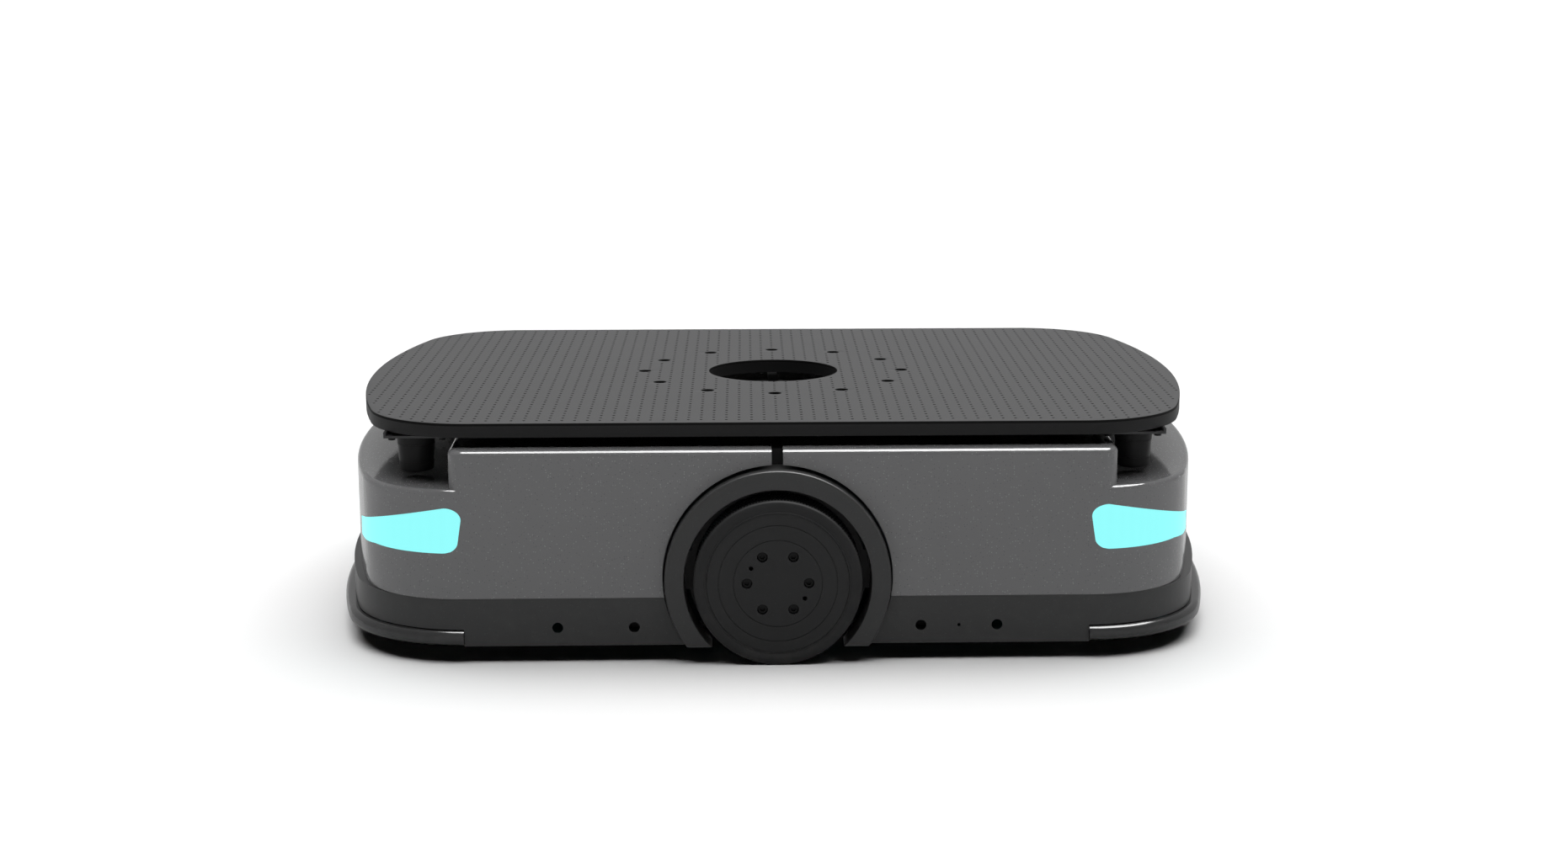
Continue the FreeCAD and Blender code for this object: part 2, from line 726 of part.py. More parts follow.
def light_prism(name, x_sign, y_sign, growth):
    """Slab through one corner of the robot, as tall as its light."""
    hand = -1 if x_sign * y_sign > 0 else 1
    owner = body(name)
    face = sketch(owner, name + "_face", "XZ_Plane")
    polygon(face, light_profile(hand, growth))
    slab = pad(owner, name + "_pad", face, S.body_length)
    tall_end = float(LIGHT_CORNER - S.light_round)
    outer_end = float(LIGHT_CORNER + S.light_round)

    def upright_end(middle, edge):
        along = abs(edge.BoundBox.YLength - edge.Length) < 1e-6
        return along and middle.x * hand < tall_end

    def upright_tip(middle, edge):
        along = abs(edge.BoundBox.YLength - edge.Length) < 1e-6
        return along and middle.x * hand > outer_end

    rounded = dress(
        owner, "Fillet", name + "_round", slab, edges_at(slab, upright_end), S.light_round
    )
    dress(
        owner,
        "Fillet",
        name + "_tip",
        rounded,
        edges_at(rounded, upright_tip),
        S.light_tip_round,
    )
    angles = {(1, -1): 45, (1, 1): 135, (-1, 1): -135, (-1, -1): -45}
    owner.Placement = Placement(
        Vector(0, 0, 0), Rotation(Vector(0, 0, 1), angles[(x_sign, y_sign)])
    )
    return owner


def cover_blank(name, block_outline):
    """Both covers in one shell: a low body with a raised middle, hollow below."""
    owner = body(name)
    low = S.seam_height + S.gap
    plan = sketch(owner, name + "_outline", "XY_Plane", low)
    draw_outline(plan, COVER)
    shelf = pad(owner, name + "_shelf", plan, SHELF - low)
    rim = edges_at(shelf, level(SHELF))
    dress(owner, "Fillet", name + "_shelf_round", shelf, rim, S.shelf_round)
    plan = sketch(owner, name + "_block_outline", "XY_Plane", S.wheel_radius)
    draw_outline(plan, block_outline)
    block = pad(owner, name + "_block", plan, COVER_TOP - S.wheel_radius)
    rim = edges_at(block, level(COVER_TOP))
    dress(owner, "Fillet", name + "_top_round", block, rim, S.top_round)
    plan = sketch(owner, name + "_hollow_outline", "XY_Plane", low)
    draw_outline(plan, COVER.inset(S.shell_wall))
    depth = SHELF - S.shell_wall - low
    pocket(owner, name + "_hollow", plan, depth, reverse=True)
    plan = sketch(owner, name + "_block_hollow_outline", "XY_Plane", low)
    draw_outline(plan, block_outline.inset(S.shell_wall))
    depth = COVER_TOP - S.shell_wall - low
    pocket(owner, name + "_block_hollow", plan, depth, reverse=True)
    holes = sketch(owner, name + "_holes", "XY_Plane", SHELF)
    circle(holes, S.cover_opening)
    for x, y in post_places():
        circle(holes, S.post_radius + S.gap * 2, x, y)
    pocket(owner, name + "_hole_cut", holes, reverse=True)
    arch = sketch(owner, name + "_arch", "XZ_Plane")
    circle(arch, ARCH_RADIUS, 0, ARCH_HEIGHT)
    pocket(owner, name + "_arch_cut", arch, both=True)
    return owner


def make_covers():
    """Front and rear covers, parted by the slot, with windows for the lights."""
    for end, x_sign in ENDS.items():
        shell = cover_blank(f"{end}_shell", BLOCKS[end])
        half = box(
            f"{end}_half",
            (S.body_length, S.body_width, COVER_TOP),
            (
                S.cover_split / 2 if x_sign > 0 else -S.body_length - S.cover_split / 2,
                -HALF_WIDTH,
                S.seam_height,
            ),
        )
        windows = [
            light_prism(f"window_{end}_{side}", x_sign, y_sign, S.gap)
            for side, y_sign in SIDES.items()
        ]
        if end == "rear":
            windows.append(
                box(
                    "panel_window",
                    (
                        HALF_LENGTH - PANEL_FACE + S.panel_plate,
                        S.panel_width - S.panel_reveal * 2,
                        S.panel_height - S.panel_reveal * 2,
                    ),
                    (
                        -HALF_LENGTH,
                        S.panel_reveal - S.panel_width / 2,
                        S.panel_mid - S.panel_height / 2 + S.panel_reveal,
                    ),
                )
            )
        blank = common(f"{end}_cover_blank", shell, half)
        node(cut(f"{end}_cover", blank, windows), f"{end}_cover")


def make_lights():
    """Four lenses flush with the covers, each wrapped round its corner."""
    for label, (x_sign, y_sign) in CASTERS.items():
        owner = body(f"lens_ring_{label}")
        plan = sketch(owner, f"lens_outline_{label}", "XY_Plane", S.seam_height)
        draw_outline(plan, COVER)
        solid = pad(owner, f"lens_pad_{label}", plan, SHELF - S.seam_height)
        plan = sketch(owner, f"lens_inner_{label}", "XY_Plane", S.seam_height)
        draw_outline(plan, COVER.inset(S.shell_wall))
        pocket(owner, f"lens_hollow_{label}", plan, reverse=True)
        prism = light_prism(f"lens_prism_{label}", x_sign, y_sign, Size.of(0))
        node(common(f"light_{label}", owner, prism), f"light_{label}")


def skirt_blank(name):
    """Both skirts in one: a wall with an inward ledge under the covers."""
    owner = body(name)
    plan = sketch(owner, name + "_outline", "XY_Plane", S.skirt_low)
    draw_outline(plan, SKIRT)
    pad(owner, name + "_wall", plan, S.seam_height - S.skirt_low)
    plan = sketch(owner, name + "_inner", "XY_Plane", S.skirt_low)
    draw_outline(plan, SKIRT.inset(S.shell_wall))
    depth = S.seam_height - S.shell_wall - S.skirt_low
    pocket(owner, name + "_hollow", plan, depth, reverse=True)
    plan = sketch(owner, name + "_ledge", "XY_Plane", S.skirt_low)
    draw_outline(plan, SKIRT.inset(S.skirt_ledge))
    pocket(owner, name + "_ledge_cut", plan, reverse=True)
    cuts = sketch(owner, name + "_cuts", "XZ_Plane")
    for sign in ENDS.values():
        near, far = NOTCH * sign, SKIRT_END * 2 * sign
        low, high = (near, far) if sign > 0 else (far, near)
        rectangle(cuts, low, high, Size.of(0), S.skirt_end_low)
        for index in range(2):
            x = (SIDE_HOLE + S.side_hole_pitch * index) * sign
            circle(cuts, S.side_hole, x, S.side_hole_height)
    vent = SIDE_HOLE + S.side_hole_pitch / 2
    circle(cuts, S.vent_hole, vent, S.side_hole_height)
    pocket(owner, name + "_cut", cuts, both=True)
    arch = sketch(owner, name + "_arch", "XZ_Plane")
    circle(arch, ARCH_RADIUS, 0, ARCH_HEIGHT)
    pocket(owner, name + "_arch_cut", arch, both=True)
    return owner


def bumper_blank(name):
    """Both bumpers in one ring, bulging out below the skirts."""
    owner = body(name)
    plan = sketch(owner, name + "_outline", "XY_Plane", S.bumper_low)
    draw_outline(plan, BUMPER)
    ring = pad(owner, name + "_ring", plan, S.bumper_high - S.bumper_low)
    rims = edges_at(ring, level(S.bumper_high)) + edges_at(ring, level(S.bumper_low))
    dress(owner, "Fillet", name + "_round", ring, rims, S.bumper_round)
    plan = sketch(owner, name + "_inner", "XY_Plane", S.bumper_low)
    draw_outline(plan, SKIRT.inset(S.shell_wall))
    pocket(owner, name + "_hollow", plan, reverse=True)
    return owner


def make_skirts_and_bumpers():
    """Front and rear skirts, each with its rubber bumper."""
    for end, x_sign in ENDS.items():
        for part, blank, start in (
            ("skirt", skirt_blank, S.gap),
            ("bumper", bumper_blank, NOTCH + S.gap),
        ):
            shell = blank(f"{end}_{part}_ring")
            half = box(
                f"{end}_{part}_half",
                (BUMPER_END * 2, BUMPER_SIDE * 2, S.seam_height),
                (
                    start if x_sign > 0 else -BUMPER_END * 2 - start,
                    -BUMPER_SIDE,
                    Size.of(0),
                ),
            )
            item = common(f"{end}_{part}_piece", shell, half)
            if end == "rear" and part == "skirt":
                item = cut("rear_skirt_piece_cut", item, [charge_window()])
            node(item, f"{end}_{part}")


def charge_window():
    """Opening in the rear skirt for the charging block's nose."""
    return box(
        "charge_window",
        (
            SKIRT_END - CHARGE_FACE + S.panel_plate,
            S.charge_width + S.gap * 2,
            S.charge_height + S.gap * 2,
        ),
        (-SKIRT_END, -S.charge_width / 2 - S.gap, S.charge_low - S.gap),
    )


def make_fender(name, side):
    """Ring round the wheel, cut flat above the floor."""
    owner = body(f"fender_{name}")
    start = FRAME_FACE if side < 0 else -FENDER_FACE
    face = sketch(owner, f"fender_face_{name}", "XZ_Plane", start)
    circle(face, FENDER_OUTER, 0, S.wheel_radius)
    circle(face, FENDER_INNER, 0, S.wheel_radius)
    depth = FENDER_FACE - FRAME_FACE
    ring = pad(owner, f"fender_ring_{name}", face, depth)
    front = float(FENDER_FACE) * side

    def at_face(edge):
        return abs(edge.BoundBox.YMin - front) < 1e-3 and edge.BoundBox.YLength < 1e-4

    def outer(middle, edge):
        return at_face(edge) and edge.BoundBox.XLength > float(FENDER_MEAN_WIDTH)

    def inner(middle, edge):
        return at_face(edge) and edge.BoundBox.XLength < float(FENDER_MEAN_WIDTH)

    rim = edges_at(ring, outer)
    ring = dress(owner, "Fillet", f"fender_round_{name}", ring, rim, S.fender_round)
    rim = edges_at(ring, inner)
    dress(owner, "Chamfer", f"fender_edge_{name}", ring, rim, S.fender_chamfer)
    flat = sketch(owner, f"fender_flat_{name}", "XZ_Plane")
    rectangle(flat, -ARCH_RADIUS, ARCH_RADIUS, -ARCH_RADIUS, S.fender_floor)
    pocket(owner, f"fender_flat_cut_{name}", flat, both=True)
    node(owner, f"fender_{name}")


def make_drive_unit(name, side):
    """Carrier on two slide blocks, with gearbox and motor behind it."""
    inward = "-y" if side > 0 else "y"
    disc = cylinder(
        f"carrier_disc_{name}",
        CARRIER_RADIUS,
        S.carrier_plate,
        (0, CARRIER_FACE * side, S.wheel_radius),
        inward,
    )
    bar_length = GUIDE_X * 2 + S.block_width
    bar = box_about(
        f"carrier_bar_{name}",
        (bar_length, S.carrier_plate, S.block_height),
        0,
        (CARRIER_FACE - S.carrier_plate / 2) * side,
        BLOCK_LOW,
    )
    block_depth = (CARRIER_BACK - GUIDE_Y) * 2
    blocks = [
        box_about(
            f"carrier_block_{name}_{end}",
            (S.block_width, block_depth, S.block_height),
            GUIDE_X * x_sign,
            GUIDE_Y * side,
            BLOCK_LOW,
        )
        for end, x_sign in ENDS.items()
    ]
    bores = [
        cylinder(
            f"carrier_guide_bore_{name}_{end}",
            S.guide_radius + S.running_fit,
            S.block_height,
            (GUIDE_X * x_sign, GUIDE_Y * side, BLOCK_LOW),
        )
        for end, x_sign in ENDS.items()
    ]
    shaft_bore = cylinder(
        f"carrier_bore_{name}",
        S.carrier_bore,
        S.carrier_plate,
        (0, CARRIER_FACE * side, S.wheel_radius),
        inward,
    )
    flat = box_about(
        f"carrier_flat_{name}",
        (CARRIER_RADIUS * 2, S.carrier_plate, CARRIER_RADIUS),
        0,
        (CARRIER_FACE - S.carrier_plate / 2) * side,
        S.carrier_floor - CARRIER_RADIUS,
    )
    blank = fuse(f"carrier_blank_{name}", [disc, bar] + blocks)
    carrier = cut(f"drive_carrier_{name}", blank, bores + [shaft_bore, flat])
    node(carrier, f"drive_carrier_{name}")
    housing = cylinder(
        f"gearbox_housing_{name}",
        S.gearbox_radius,
        S.gearbox_length,
        (0, CARRIER_BACK * side, S.wheel_radius),
        inward,
    )
    bearing = cylinder(
        f"gearbox_bearing_{name}",
        S.hub_shaft + S.running_fit,
        S.gearbox_bore_depth,
        (0, CARRIER_BACK * side, S.wheel_radius),
        inward,
    )
    node(cut(f"gearbox_{name}", housing, [bearing]), f"gearbox_{name}")
    motor = cylinder(
        f"drive_motor_{name}",
        S.motor_radius,
        S.motor_length,
        (0, (CARRIER_BACK - S.gearbox_length) * side, S.wheel_radius),
        inward,
    )
    node(motor, f"drive_motor_{name}")


def make_guides():
    """Rods that the slide blocks run on, and the springs round them."""
    rods = []
    for name, side in SIDES.items():
        springs = []
        for end, x_sign in ENDS.items():
            x, y = GUIDE_X * x_sign, GUIDE_Y * side
            low, high = BASE_TOP, FRAME_TOP - S.frame_plate
            rods.append(
                cylinder(f"rod_{name}_{end}", S.guide_radius, high - low, (x, y, low))
            )
            springs.append(make_spring(f"spring_{name}_{end}", x, y, high))
        node(group(f"springs_{name}", springs), f"suspension_springs_{name}")
    node(group("guide_rods", rods), "guide_rods")


def make_spring(name, x, y, high):
    """Coil between the top of a slide block and the flange above it."""
    low = BLOCK_LOW + S.block_height + S.gap
    wire = float(S.spring_wire) / 2
    coil = float(S.guide_radius + S.spring_clear) + wire
    rise = float(high - low - S.gap) - 2 * wire
    helix = Part.makeHelix(rise / float(S.spring_turns), rise, coil)
    ring = Part.makeCircle(wire, Vector(coil, 0, 0), Vector(0, 1, 0))
    item = doc.addObject("Part::Feature", name)
    item.Shape = Part.Wire(helix).makePipeShell([Part.Wire(ring)], True, True)
    place(item, x, y, low + wire)
    return item


def make_wheel(name, side):
    """Hub with its shaft, rim, tread and screws; heights run outwards."""
    outward = OUTWARD[side]
    middle = (0, CARRIER_BACK * side, S.wheel_radius)
    rim_face = WHEEL_FACE - S.rim_set_back - CARRIER_BACK
    rim_back = rim_face - S.rim_depth
    web_back = rim_face - S.rim_web
    flange_low = CARRIER_FACE - CARRIER_BACK + S.wheel_gap / 2
    shaft_low = flange_low - S.shaft_length
    hub = turned(
        f"hub_body_{name}",
        [
            (Size.of(0), shaft_low),
            (S.hub_shaft, shaft_low),
            (S.hub_shaft, flange_low),
            (S.hub_flange, flange_low),
            (S.hub_flange, web_back),
            (Size.of(0), web_back),
        ],
        outward,
        middle,
    )
    threads = wheel_holes(f"thread_{name}", side, S.screw_shank, web_back, -S.rim_web)
    node(cut(f"wheel_hub_{name}", hub, threads), f"wheel_hub_{name}")
    half = S.groove_width / 2
    bottom = rim_face - S.groove_depth
    face = []
    for line in (S.rim_line, S.hub_line):
        face += [
            (line + half, rim_face),
            (line + half, bottom),
            (line - half, bottom),
            (line - half, rim_face),
        ]
    barrel = TYRE_INNER - S.rim_barrel
    rim = turned(
        f"rim_body_{name}",
        [
            (Size.of(0), web_back),
            (barrel, web_back),
            (barrel, rim_back),
            (TYRE_INNER, rim_back),
            (TYRE_INNER, rim_face),
        ]
        + face
        + [(Size.of(0), rim_face)],
        outward,
        middle,
    )
    holes = wheel_holes(f"rim_hole_{name}", side, S.screw_shank, rim_face, -S.rim_web)
    holes += wheel_holes(f"rim_sink_{name}", side, S.screw_head, rim_face, -S.screw_sink)
    for index, angle in enumerate((150, -30)):
        holes.append(
            wheel_hole(f"jack_{name}_{index}", side, S.jack_hole, rim_face, -S.rim_web, angle)
        )
    node(cut(f"wheel_rim_{name}", rim, holes), f"wheel_rim_{name}")
    tread_low, tread_high = WHEEL_BACK - CARRIER_BACK, WHEEL_FACE - CARRIER_BACK
    tyre = turned(
        f"wheel_tyre_{name}",
        [
            (TYRE_INNER + S.gap, tread_low),
            (S.wheel_radius - S.tyre_round, tread_low),
            (S.wheel_radius, tread_low + S.tyre_round),
            (S.wheel_radius, tread_high - S.tyre_round),
            (S.wheel_radius - S.tyre_round, tread_high),
            (TYRE_INNER + S.gap, tread_high),
        ],
        outward,
        middle,
    )
    node(tyre, f"wheel_tyre_{name}")
    sink = rim_face - S.screw_sink
    head_height = S.screw_sink - S.screw_recess
    screws = []
    count = int(float(S.wheel_bolt_count))
    for index in range(count):
        angle = 360.0 / count * index
        parts = [
            wheel_hole(
                f"head_{name}_{index}", side, S.screw_head - S.gap, sink, head_height, angle
            ),
            wheel_hole(
                f"shank_{name}_{index}", side, S.screw_shank - S.gap, sink, -S.rim_web, angle
            ),
        ]
        solid = fuse(f"screw_{name}_{index}", parts)
        socket = wheel_hole(
            f"socket_{name}_{index}", side, S.screw_shank, sink + head_height, -S.socket_depth, angle
        )
        screws.append(cut(f"screw_cut_{name}_{index}", solid, [socket]))
    node(group(f"wheel_screws_{name}", screws), f"wheel_screws_{name}")


def wheel_hole(name, side, radius, start, length, angle):
    """A cylinder on the wheel's bolt circle; a negative length runs inwards."""
    turn = math.radians(angle)
    length = Size.of(length)
    inwards = length.value < 0
    along = "y" if (side > 0) != inwards else "-y"
    return cylinder(
        name,
        radius,
        -length if inwards else length,
        (
            S.wheel_bolt_circle * math.cos(turn),
            (CARRIER_BACK + start) * side,
            S.wheel_radius + S.wheel_bolt_circle * math.sin(turn),
        ),
        along,
    )


def wheel_holes(name, side, radius, start, length):
    """One such cylinder at every screw of the bolt circle."""
    count = int(float(S.wheel_bolt_count))
    return [
        wheel_hole(f"{name}_{index}", side, radius, start, length, 360.0 / count * index)
        for index in range(count)
    ]


def make_scanners():
    """Tapered scanners hung under the deck's corners on sheet brackets."""
    brackets, screws = [], []
    plate_low = DECK_LOW - S.bracket_drop
    scanner_low = SHELF + S.scanner_clear
    for label, (x_sign, y_sign) in CASTERS.items():
        x, y = SCANNER_X * x_sign, SCANNER_Y * y_sign
        middle = (SCANNER_X - S.bracket_shift) * x_sign
        plate = box_about(
            f"bracket_plate_{label}",
            (S.bracket_length, S.bracket_width, S.bracket_sheet),
            middle,
            y,
            plate_low,
        )
        walls = [
            box_about(
                f"bracket_wall_{label}_{end}",
                (S.bracket_sheet, S.bracket_width, S.bracket_drop),
                middle + (S.bracket_length - S.bracket_sheet) / 2 * sign,
                y,
                plate_low,
            )
            for end, sign in ENDS.items()
        ]
        blank = fuse(f"bracket_blank_{label}", [plate] + walls)
        reach = S.bracket_length / 2 - S.bracket_sheet * 3
        drills = []
        for index in range(4):
            sign_x = 1 if index < 2 else -1
            sign_y = 1 if index % 2 else -1
            place_x = middle + reach * sign_x
            place_y = y + reach * sign_y
            drills.append(
                cylinder(
                    f"bracket_drill_{label}_{index}",
                    S.bracket_screw + S.gap,
                    S.bracket_sheet,
                    (place_x, place_y, plate_low),
                )
            )
            head = cylinder(
                f"bracket_head_{label}_{index}",
                S.bracket_screw_head,
                S.bracket_sheet,
                (place_x, place_y, plate_low - S.bracket_sheet),
            )
            shank = cylinder(
                f"bracket_shank_{label}_{index}",
                S.bracket_screw,
                S.bracket_drop + S.bracket_sheet,
                (place_x, place_y, plate_low - S.bracket_sheet),
            )
            screws.append(fuse(f"bracket_screw_{label}_{index}", [head, shank]))
        brackets.append(cut(f"bracket_{label}", blank, drills))
        round_off = S.scanner_round
        scanner = turned(
            f"scanner_body_{label}",
            [
                (Size.of(0), scanner_low),
                (S.scanner_low_radius - round_off, scanner_low),
                (S.scanner_low_radius, scanner_low + round_off),
                (S.scanner_top_radius, plate_low),
                (Size.of(0), plate_low),
            ],
            Rotation(),
            (x, y, 0),
        )
        node(scanner, f"laser_scanner_{label}")
    node(group("scanner_brackets", brackets), "scanner_brackets")
    node(group("scanner_screws", screws), "scanner_screws")


def make_casters():
    """Housings in the base, and a swivel fork and wheel under each."""
    housings = []
    for label, (x_sign, y_sign) in CASTERS.items():
        x, y = CASTER_X * x_sign, CASTER_Y * y_sign
        height = S.caster_roof + S.roof_plate - BASE_TOP
        shell = cylinder(f"housing_blank_{label}", S.caster_housing, height, (x, y, BASE_TOP))
        well = cylinder(
            f"housing_well_{label}", S.caster_well, S.caster_roof - BASE_TOP, (x, y, BASE_TOP)
        )
        hole = cylinder(
            f"housing_hole_{label}",
            S.stem_radius + S.running_fit,
            S.roof_plate,
            (x, y, S.caster_roof),
        )
        housings.append(cut(f"housing_{label}", shell, [well, hole]))
        make_fork(label, x, y)
        wheel = turned(
            f"caster_wheel_{label}",
            [
                (S.axle_radius + S.running_fit, -S.caster_width / 2),
                (S.caster_radius - S.tyre_round, -S.caster_width / 2),
                (S.caster_radius, -S.caster_width / 2 + S.tyre_round),
                (S.caster_radius, S.caster_width / 2 - S.tyre_round),
                (S.caster_radius - S.tyre_round, S.caster_width / 2),
                (S.axle_radius + S.running_fit, S.caster_width / 2),
            ],
            OUTWARD[-1],
            (x - S.caster_trail, y, S.caster_radius),
        )
        node(wheel, f"caster_wheel_{label}")
    node(group("caster_housings", housings), "caster_housings")


def make_fork(label, x, y):
    """Swivel head with stem and nut, two legs and the axle between them."""
    roof = S.caster_roof
    head_low = S.caster_radius * 2 + S.tyre_round * 2
    head = cylinder(
        f"fork_head_{label}", S.fork_disc, roof - S.gap - head_low, (x, y, head_low)
    )
    stem_length = roof + S.roof_plate * 2 - head_low
    stem = cylinder(f"fork_stem_{label}", S.stem_radius, stem_length, (x, y, head_low))
    nut = cylinder(
        f"fork_nut_{label}",
        S.nut_radius,
        S.roof_plate,
        (x, y, roof + S.roof_plate + S.gap),
    )
    inner = S.caster_width / 2 + S.tyre_round / 2
    parts = [head, stem, nut]
    tools = []
    for side, sign in SIDES.items():
        leg_y = y + (inner + S.fork_plate / 2) * sign
        leg_low = S.caster_radius
        parts.append(
            box_about(
                f"fork_leg_{label}_{side}",
                (S.fork_leg + S.caster_trail, S.fork_plate, head_low - leg_low + S.fork_plate),
                x - S.caster_trail / 2,
                leg_y,
                leg_low,
            )
        )
        outer = inner + S.fork_plate
        parts.append(
            cylinder(
                f"fork_eye_{label}_{side}",
                S.fork_leg / 2,
                S.fork_plate,
                (x - S.caster_trail, y + (outer if sign > 0 else -inner), leg_low),
                "-y",
            )
        )
    reach = inner + S.fork_plate
    axle = cylinder(
        f"fork_axle_{label}",
        S.axle_radius,
        reach * 2,
        (x - S.caster_trail, y - reach, S.caster_radius),
        "y",
    )
    slope = make_leg_slope(label, x, y, reach)
    tools.append(slope)
    plates = cut(f"fork_plates_{label}", fuse(f"fork_blank_{label}", parts), tools)
    node(fuse(f"caster_fork_{label}", [plates, axle]), f"caster_fork_{label}")


def make_leg_slope(label, x, y, reach):
    """Wedge that trims the fork legs below the head, ahead of the axle."""
    owner = body(f"fork_slope_{label}")
    face = sketch(owner, f"fork_slope_face_{label}", "XZ_Plane")
    ahead = S.fork_leg / 2 - S.caster_trail
    high = S.caster_radius * 2
    polygon(
        face,
        [
            (ahead, S.caster_radius - S.fork_plate),
            (S.fork_disc + S.fork_plate, S.caster_radius - S.fork_plate),
            (S.fork_disc + S.fork_plate, high),
            (S.fork_leg / 2, high),
        ],
    )
    pad(owner, f"fork_slope_pad_{label}", face, reach * 2)
    place(owner, x, y + reach, 0)
    return owner


def make_insides():
    """Battery, controller and motor drivers on the base plate."""
    battery_width = (POST_Y - S.post_radius - S.battery_margin) * 2
    battery = box_about(
        "battery_pack",
        (S.battery_length, battery_width, S.battery_height),
        S.battery_x,
        Size.of(0),
        BASE_TOP,
    )
    node(battery, "battery_pack")
    controller = box_about(
        "controller_box",
        (S.controller_length, S.controller_width, S.controller_height),
        S.controller_x,
        Size.of(0),
        BASE_TOP,
    )
    node(controller, "controller_box")
    drivers = [
        box_about(
            f"driver_{name}",
            (S.driver_length, S.driver_width, S.driver_height),
            Size.of(0),
            S.driver_y * side,
            BASE_TOP,
        )
        for name, side in SIDES.items()
    ]
    node(group("motor_drivers", drivers), "motor_drivers")


def make_control_panel():
    """Panel behind the rear cover's window, with a stop and a power button."""
    face = -PANEL_FACE
    plate = box(
        "panel_plate",
        (S.panel_plate, S.panel_width, S.panel_height),
        (face, -S.panel_width / 2, S.panel_mid - S.panel_height / 2),
    )
    back_width = S.panel_width - S.panel_reveal * 4
    back_height = S.panel_height - S.panel_reveal * 2
    back = box(
        "panel_back",
        (S.button_depth + S.panel_plate, back_width, back_height),
        (face + S.panel_plate, -back_width / 2, S.panel_mid - back_height / 2),
    )
    bezel = cylinder(
        "power_bezel",
        S.bezel_radius,
        S.panel_plate,
        (face + S.panel_plate / 2, -S.button_offset, S.panel_mid),
        "-x",
    )
    bores = [
        cylinder(
            f"{name}_bore",
            radius + S.running_fit,
            S.button_depth + S.panel_plate,
            (face + S.button_depth, S.button_offset * side, S.panel_mid),
            "-x",
        )
        for name, radius, side in (("stop", S.stem_button, 1), ("power", S.power_radius, -1))
    ]
    blank = fuse("panel_blank", [plate, back, bezel])
    node(cut("control_panel", blank, bores), "control_panel")
    stop_back = face - S.stop_travel - S.gap * 4
    head = cylinder(
        "stop_head",
        S.stop_radius,
        S.stop_head,
        (stop_back, S.button_offset, S.panel_mid),
        "-x",
    )
    stem_end = face + S.button_depth - S.stop_travel - S.gap
    stem = cylinder(
        "stop_stem",
        S.stem_button,
        stem_end - stop_back,
        (stem_end, S.button_offset, S.panel_mid),
        "-x",
    )
    node(fuse("stop_button", [head, stem]), "stop_button")
    power_end = face + S.button_depth - S.power_travel - S.gap
    power = cylinder(
        "power_button",
        S.power_radius,
        S.button_depth + S.panel_plate / 2,
        (power_end, -S.button_offset, S.panel_mid),
        "-x",
    )
    node(power, "power_button")


def make_charging():
    """Charging block behind the rear skirt, with two contact pads."""
    nose_back = -CHARGE_FACE + S.panel_plate
    foot = box(
        "charge_foot",
        (
            S.charge_height,
            S.charge_width + S.charge_height,
            S.charge_low + S.charge_height - BASE_TOP,
        ),
        (nose_back, -(S.charge_width + S.charge_height) / 2, BASE_TOP),
    )
    nose = box(
        "charge_nose",
        (S.panel_plate, S.charge_width, S.charge_height),
        (-CHARGE_FACE, -S.charge_width / 2, S.charge_low),
    )
    node(fuse("charge_block", [foot, nose]), "charge_block")
    pads = [
        box_about(
            f"charge_pad_{name}",
            (S.bracket_sheet / 3, S.charge_pad, S.charge_height - S.bracket_sheet * 2),
            -CHARGE_FACE - S.bracket_sheet / 6,
            S.charge_width / 4 * side,
            S.charge_low + S.bracket_sheet,
        )
        for name, side in SIDES.items()
    ]
    node(group("charge_pads", pads), "charge_pads")


def check_and_write():
    """Stop on any failed object, then write one file for each sub-part."""
    doc.recompute()
    failed = [
        item.Name
        for item in doc.Objects
        if any(flag in item.State for flag in ("Invalid", "Error"))
    ]
    if failed:
        raise RuntimeError(f"failed objects: {failed}")
    os.makedirs("parts", exist_ok=True)
    for item in NODES:
        shape = item.Shape
        if shape.isNull() or not shape.isValid():
            raise RuntimeError(f"{item.Label} has no valid shape")
        print(f"{item.Label:32s} solids {len(shape.Solids):2d}  volume {shape.Volume:12.1f}")
    for item in NODES:
        item.Shape.exportStep(f"parts/{item.Label}.step")


make_base_plate()
make_centre_beam()
make_deck_posts()
make_deck()
make_covers()
make_lights()
make_skirts_and_bumpers()
for side_name, side_sign in SIDES.items():
    make_side_frame(side_name, side_sign)
    make_fender(side_name, side_sign)
    make_drive_unit(side_name, side_sign)
    make_wheel(side_name, side_sign)
make_guides()
make_scanners()
make_casters()
make_insides()
make_control_panel()
make_charging()
check_and_write()
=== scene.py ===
import json
import logging
import math
from dataclasses import dataclass
from enum import Enum
from itertools import product
from typing import Any, ClassVar, Mapping, Sequence, Union

import bmesh
import bpy
from mathutils import Matrix, Vector


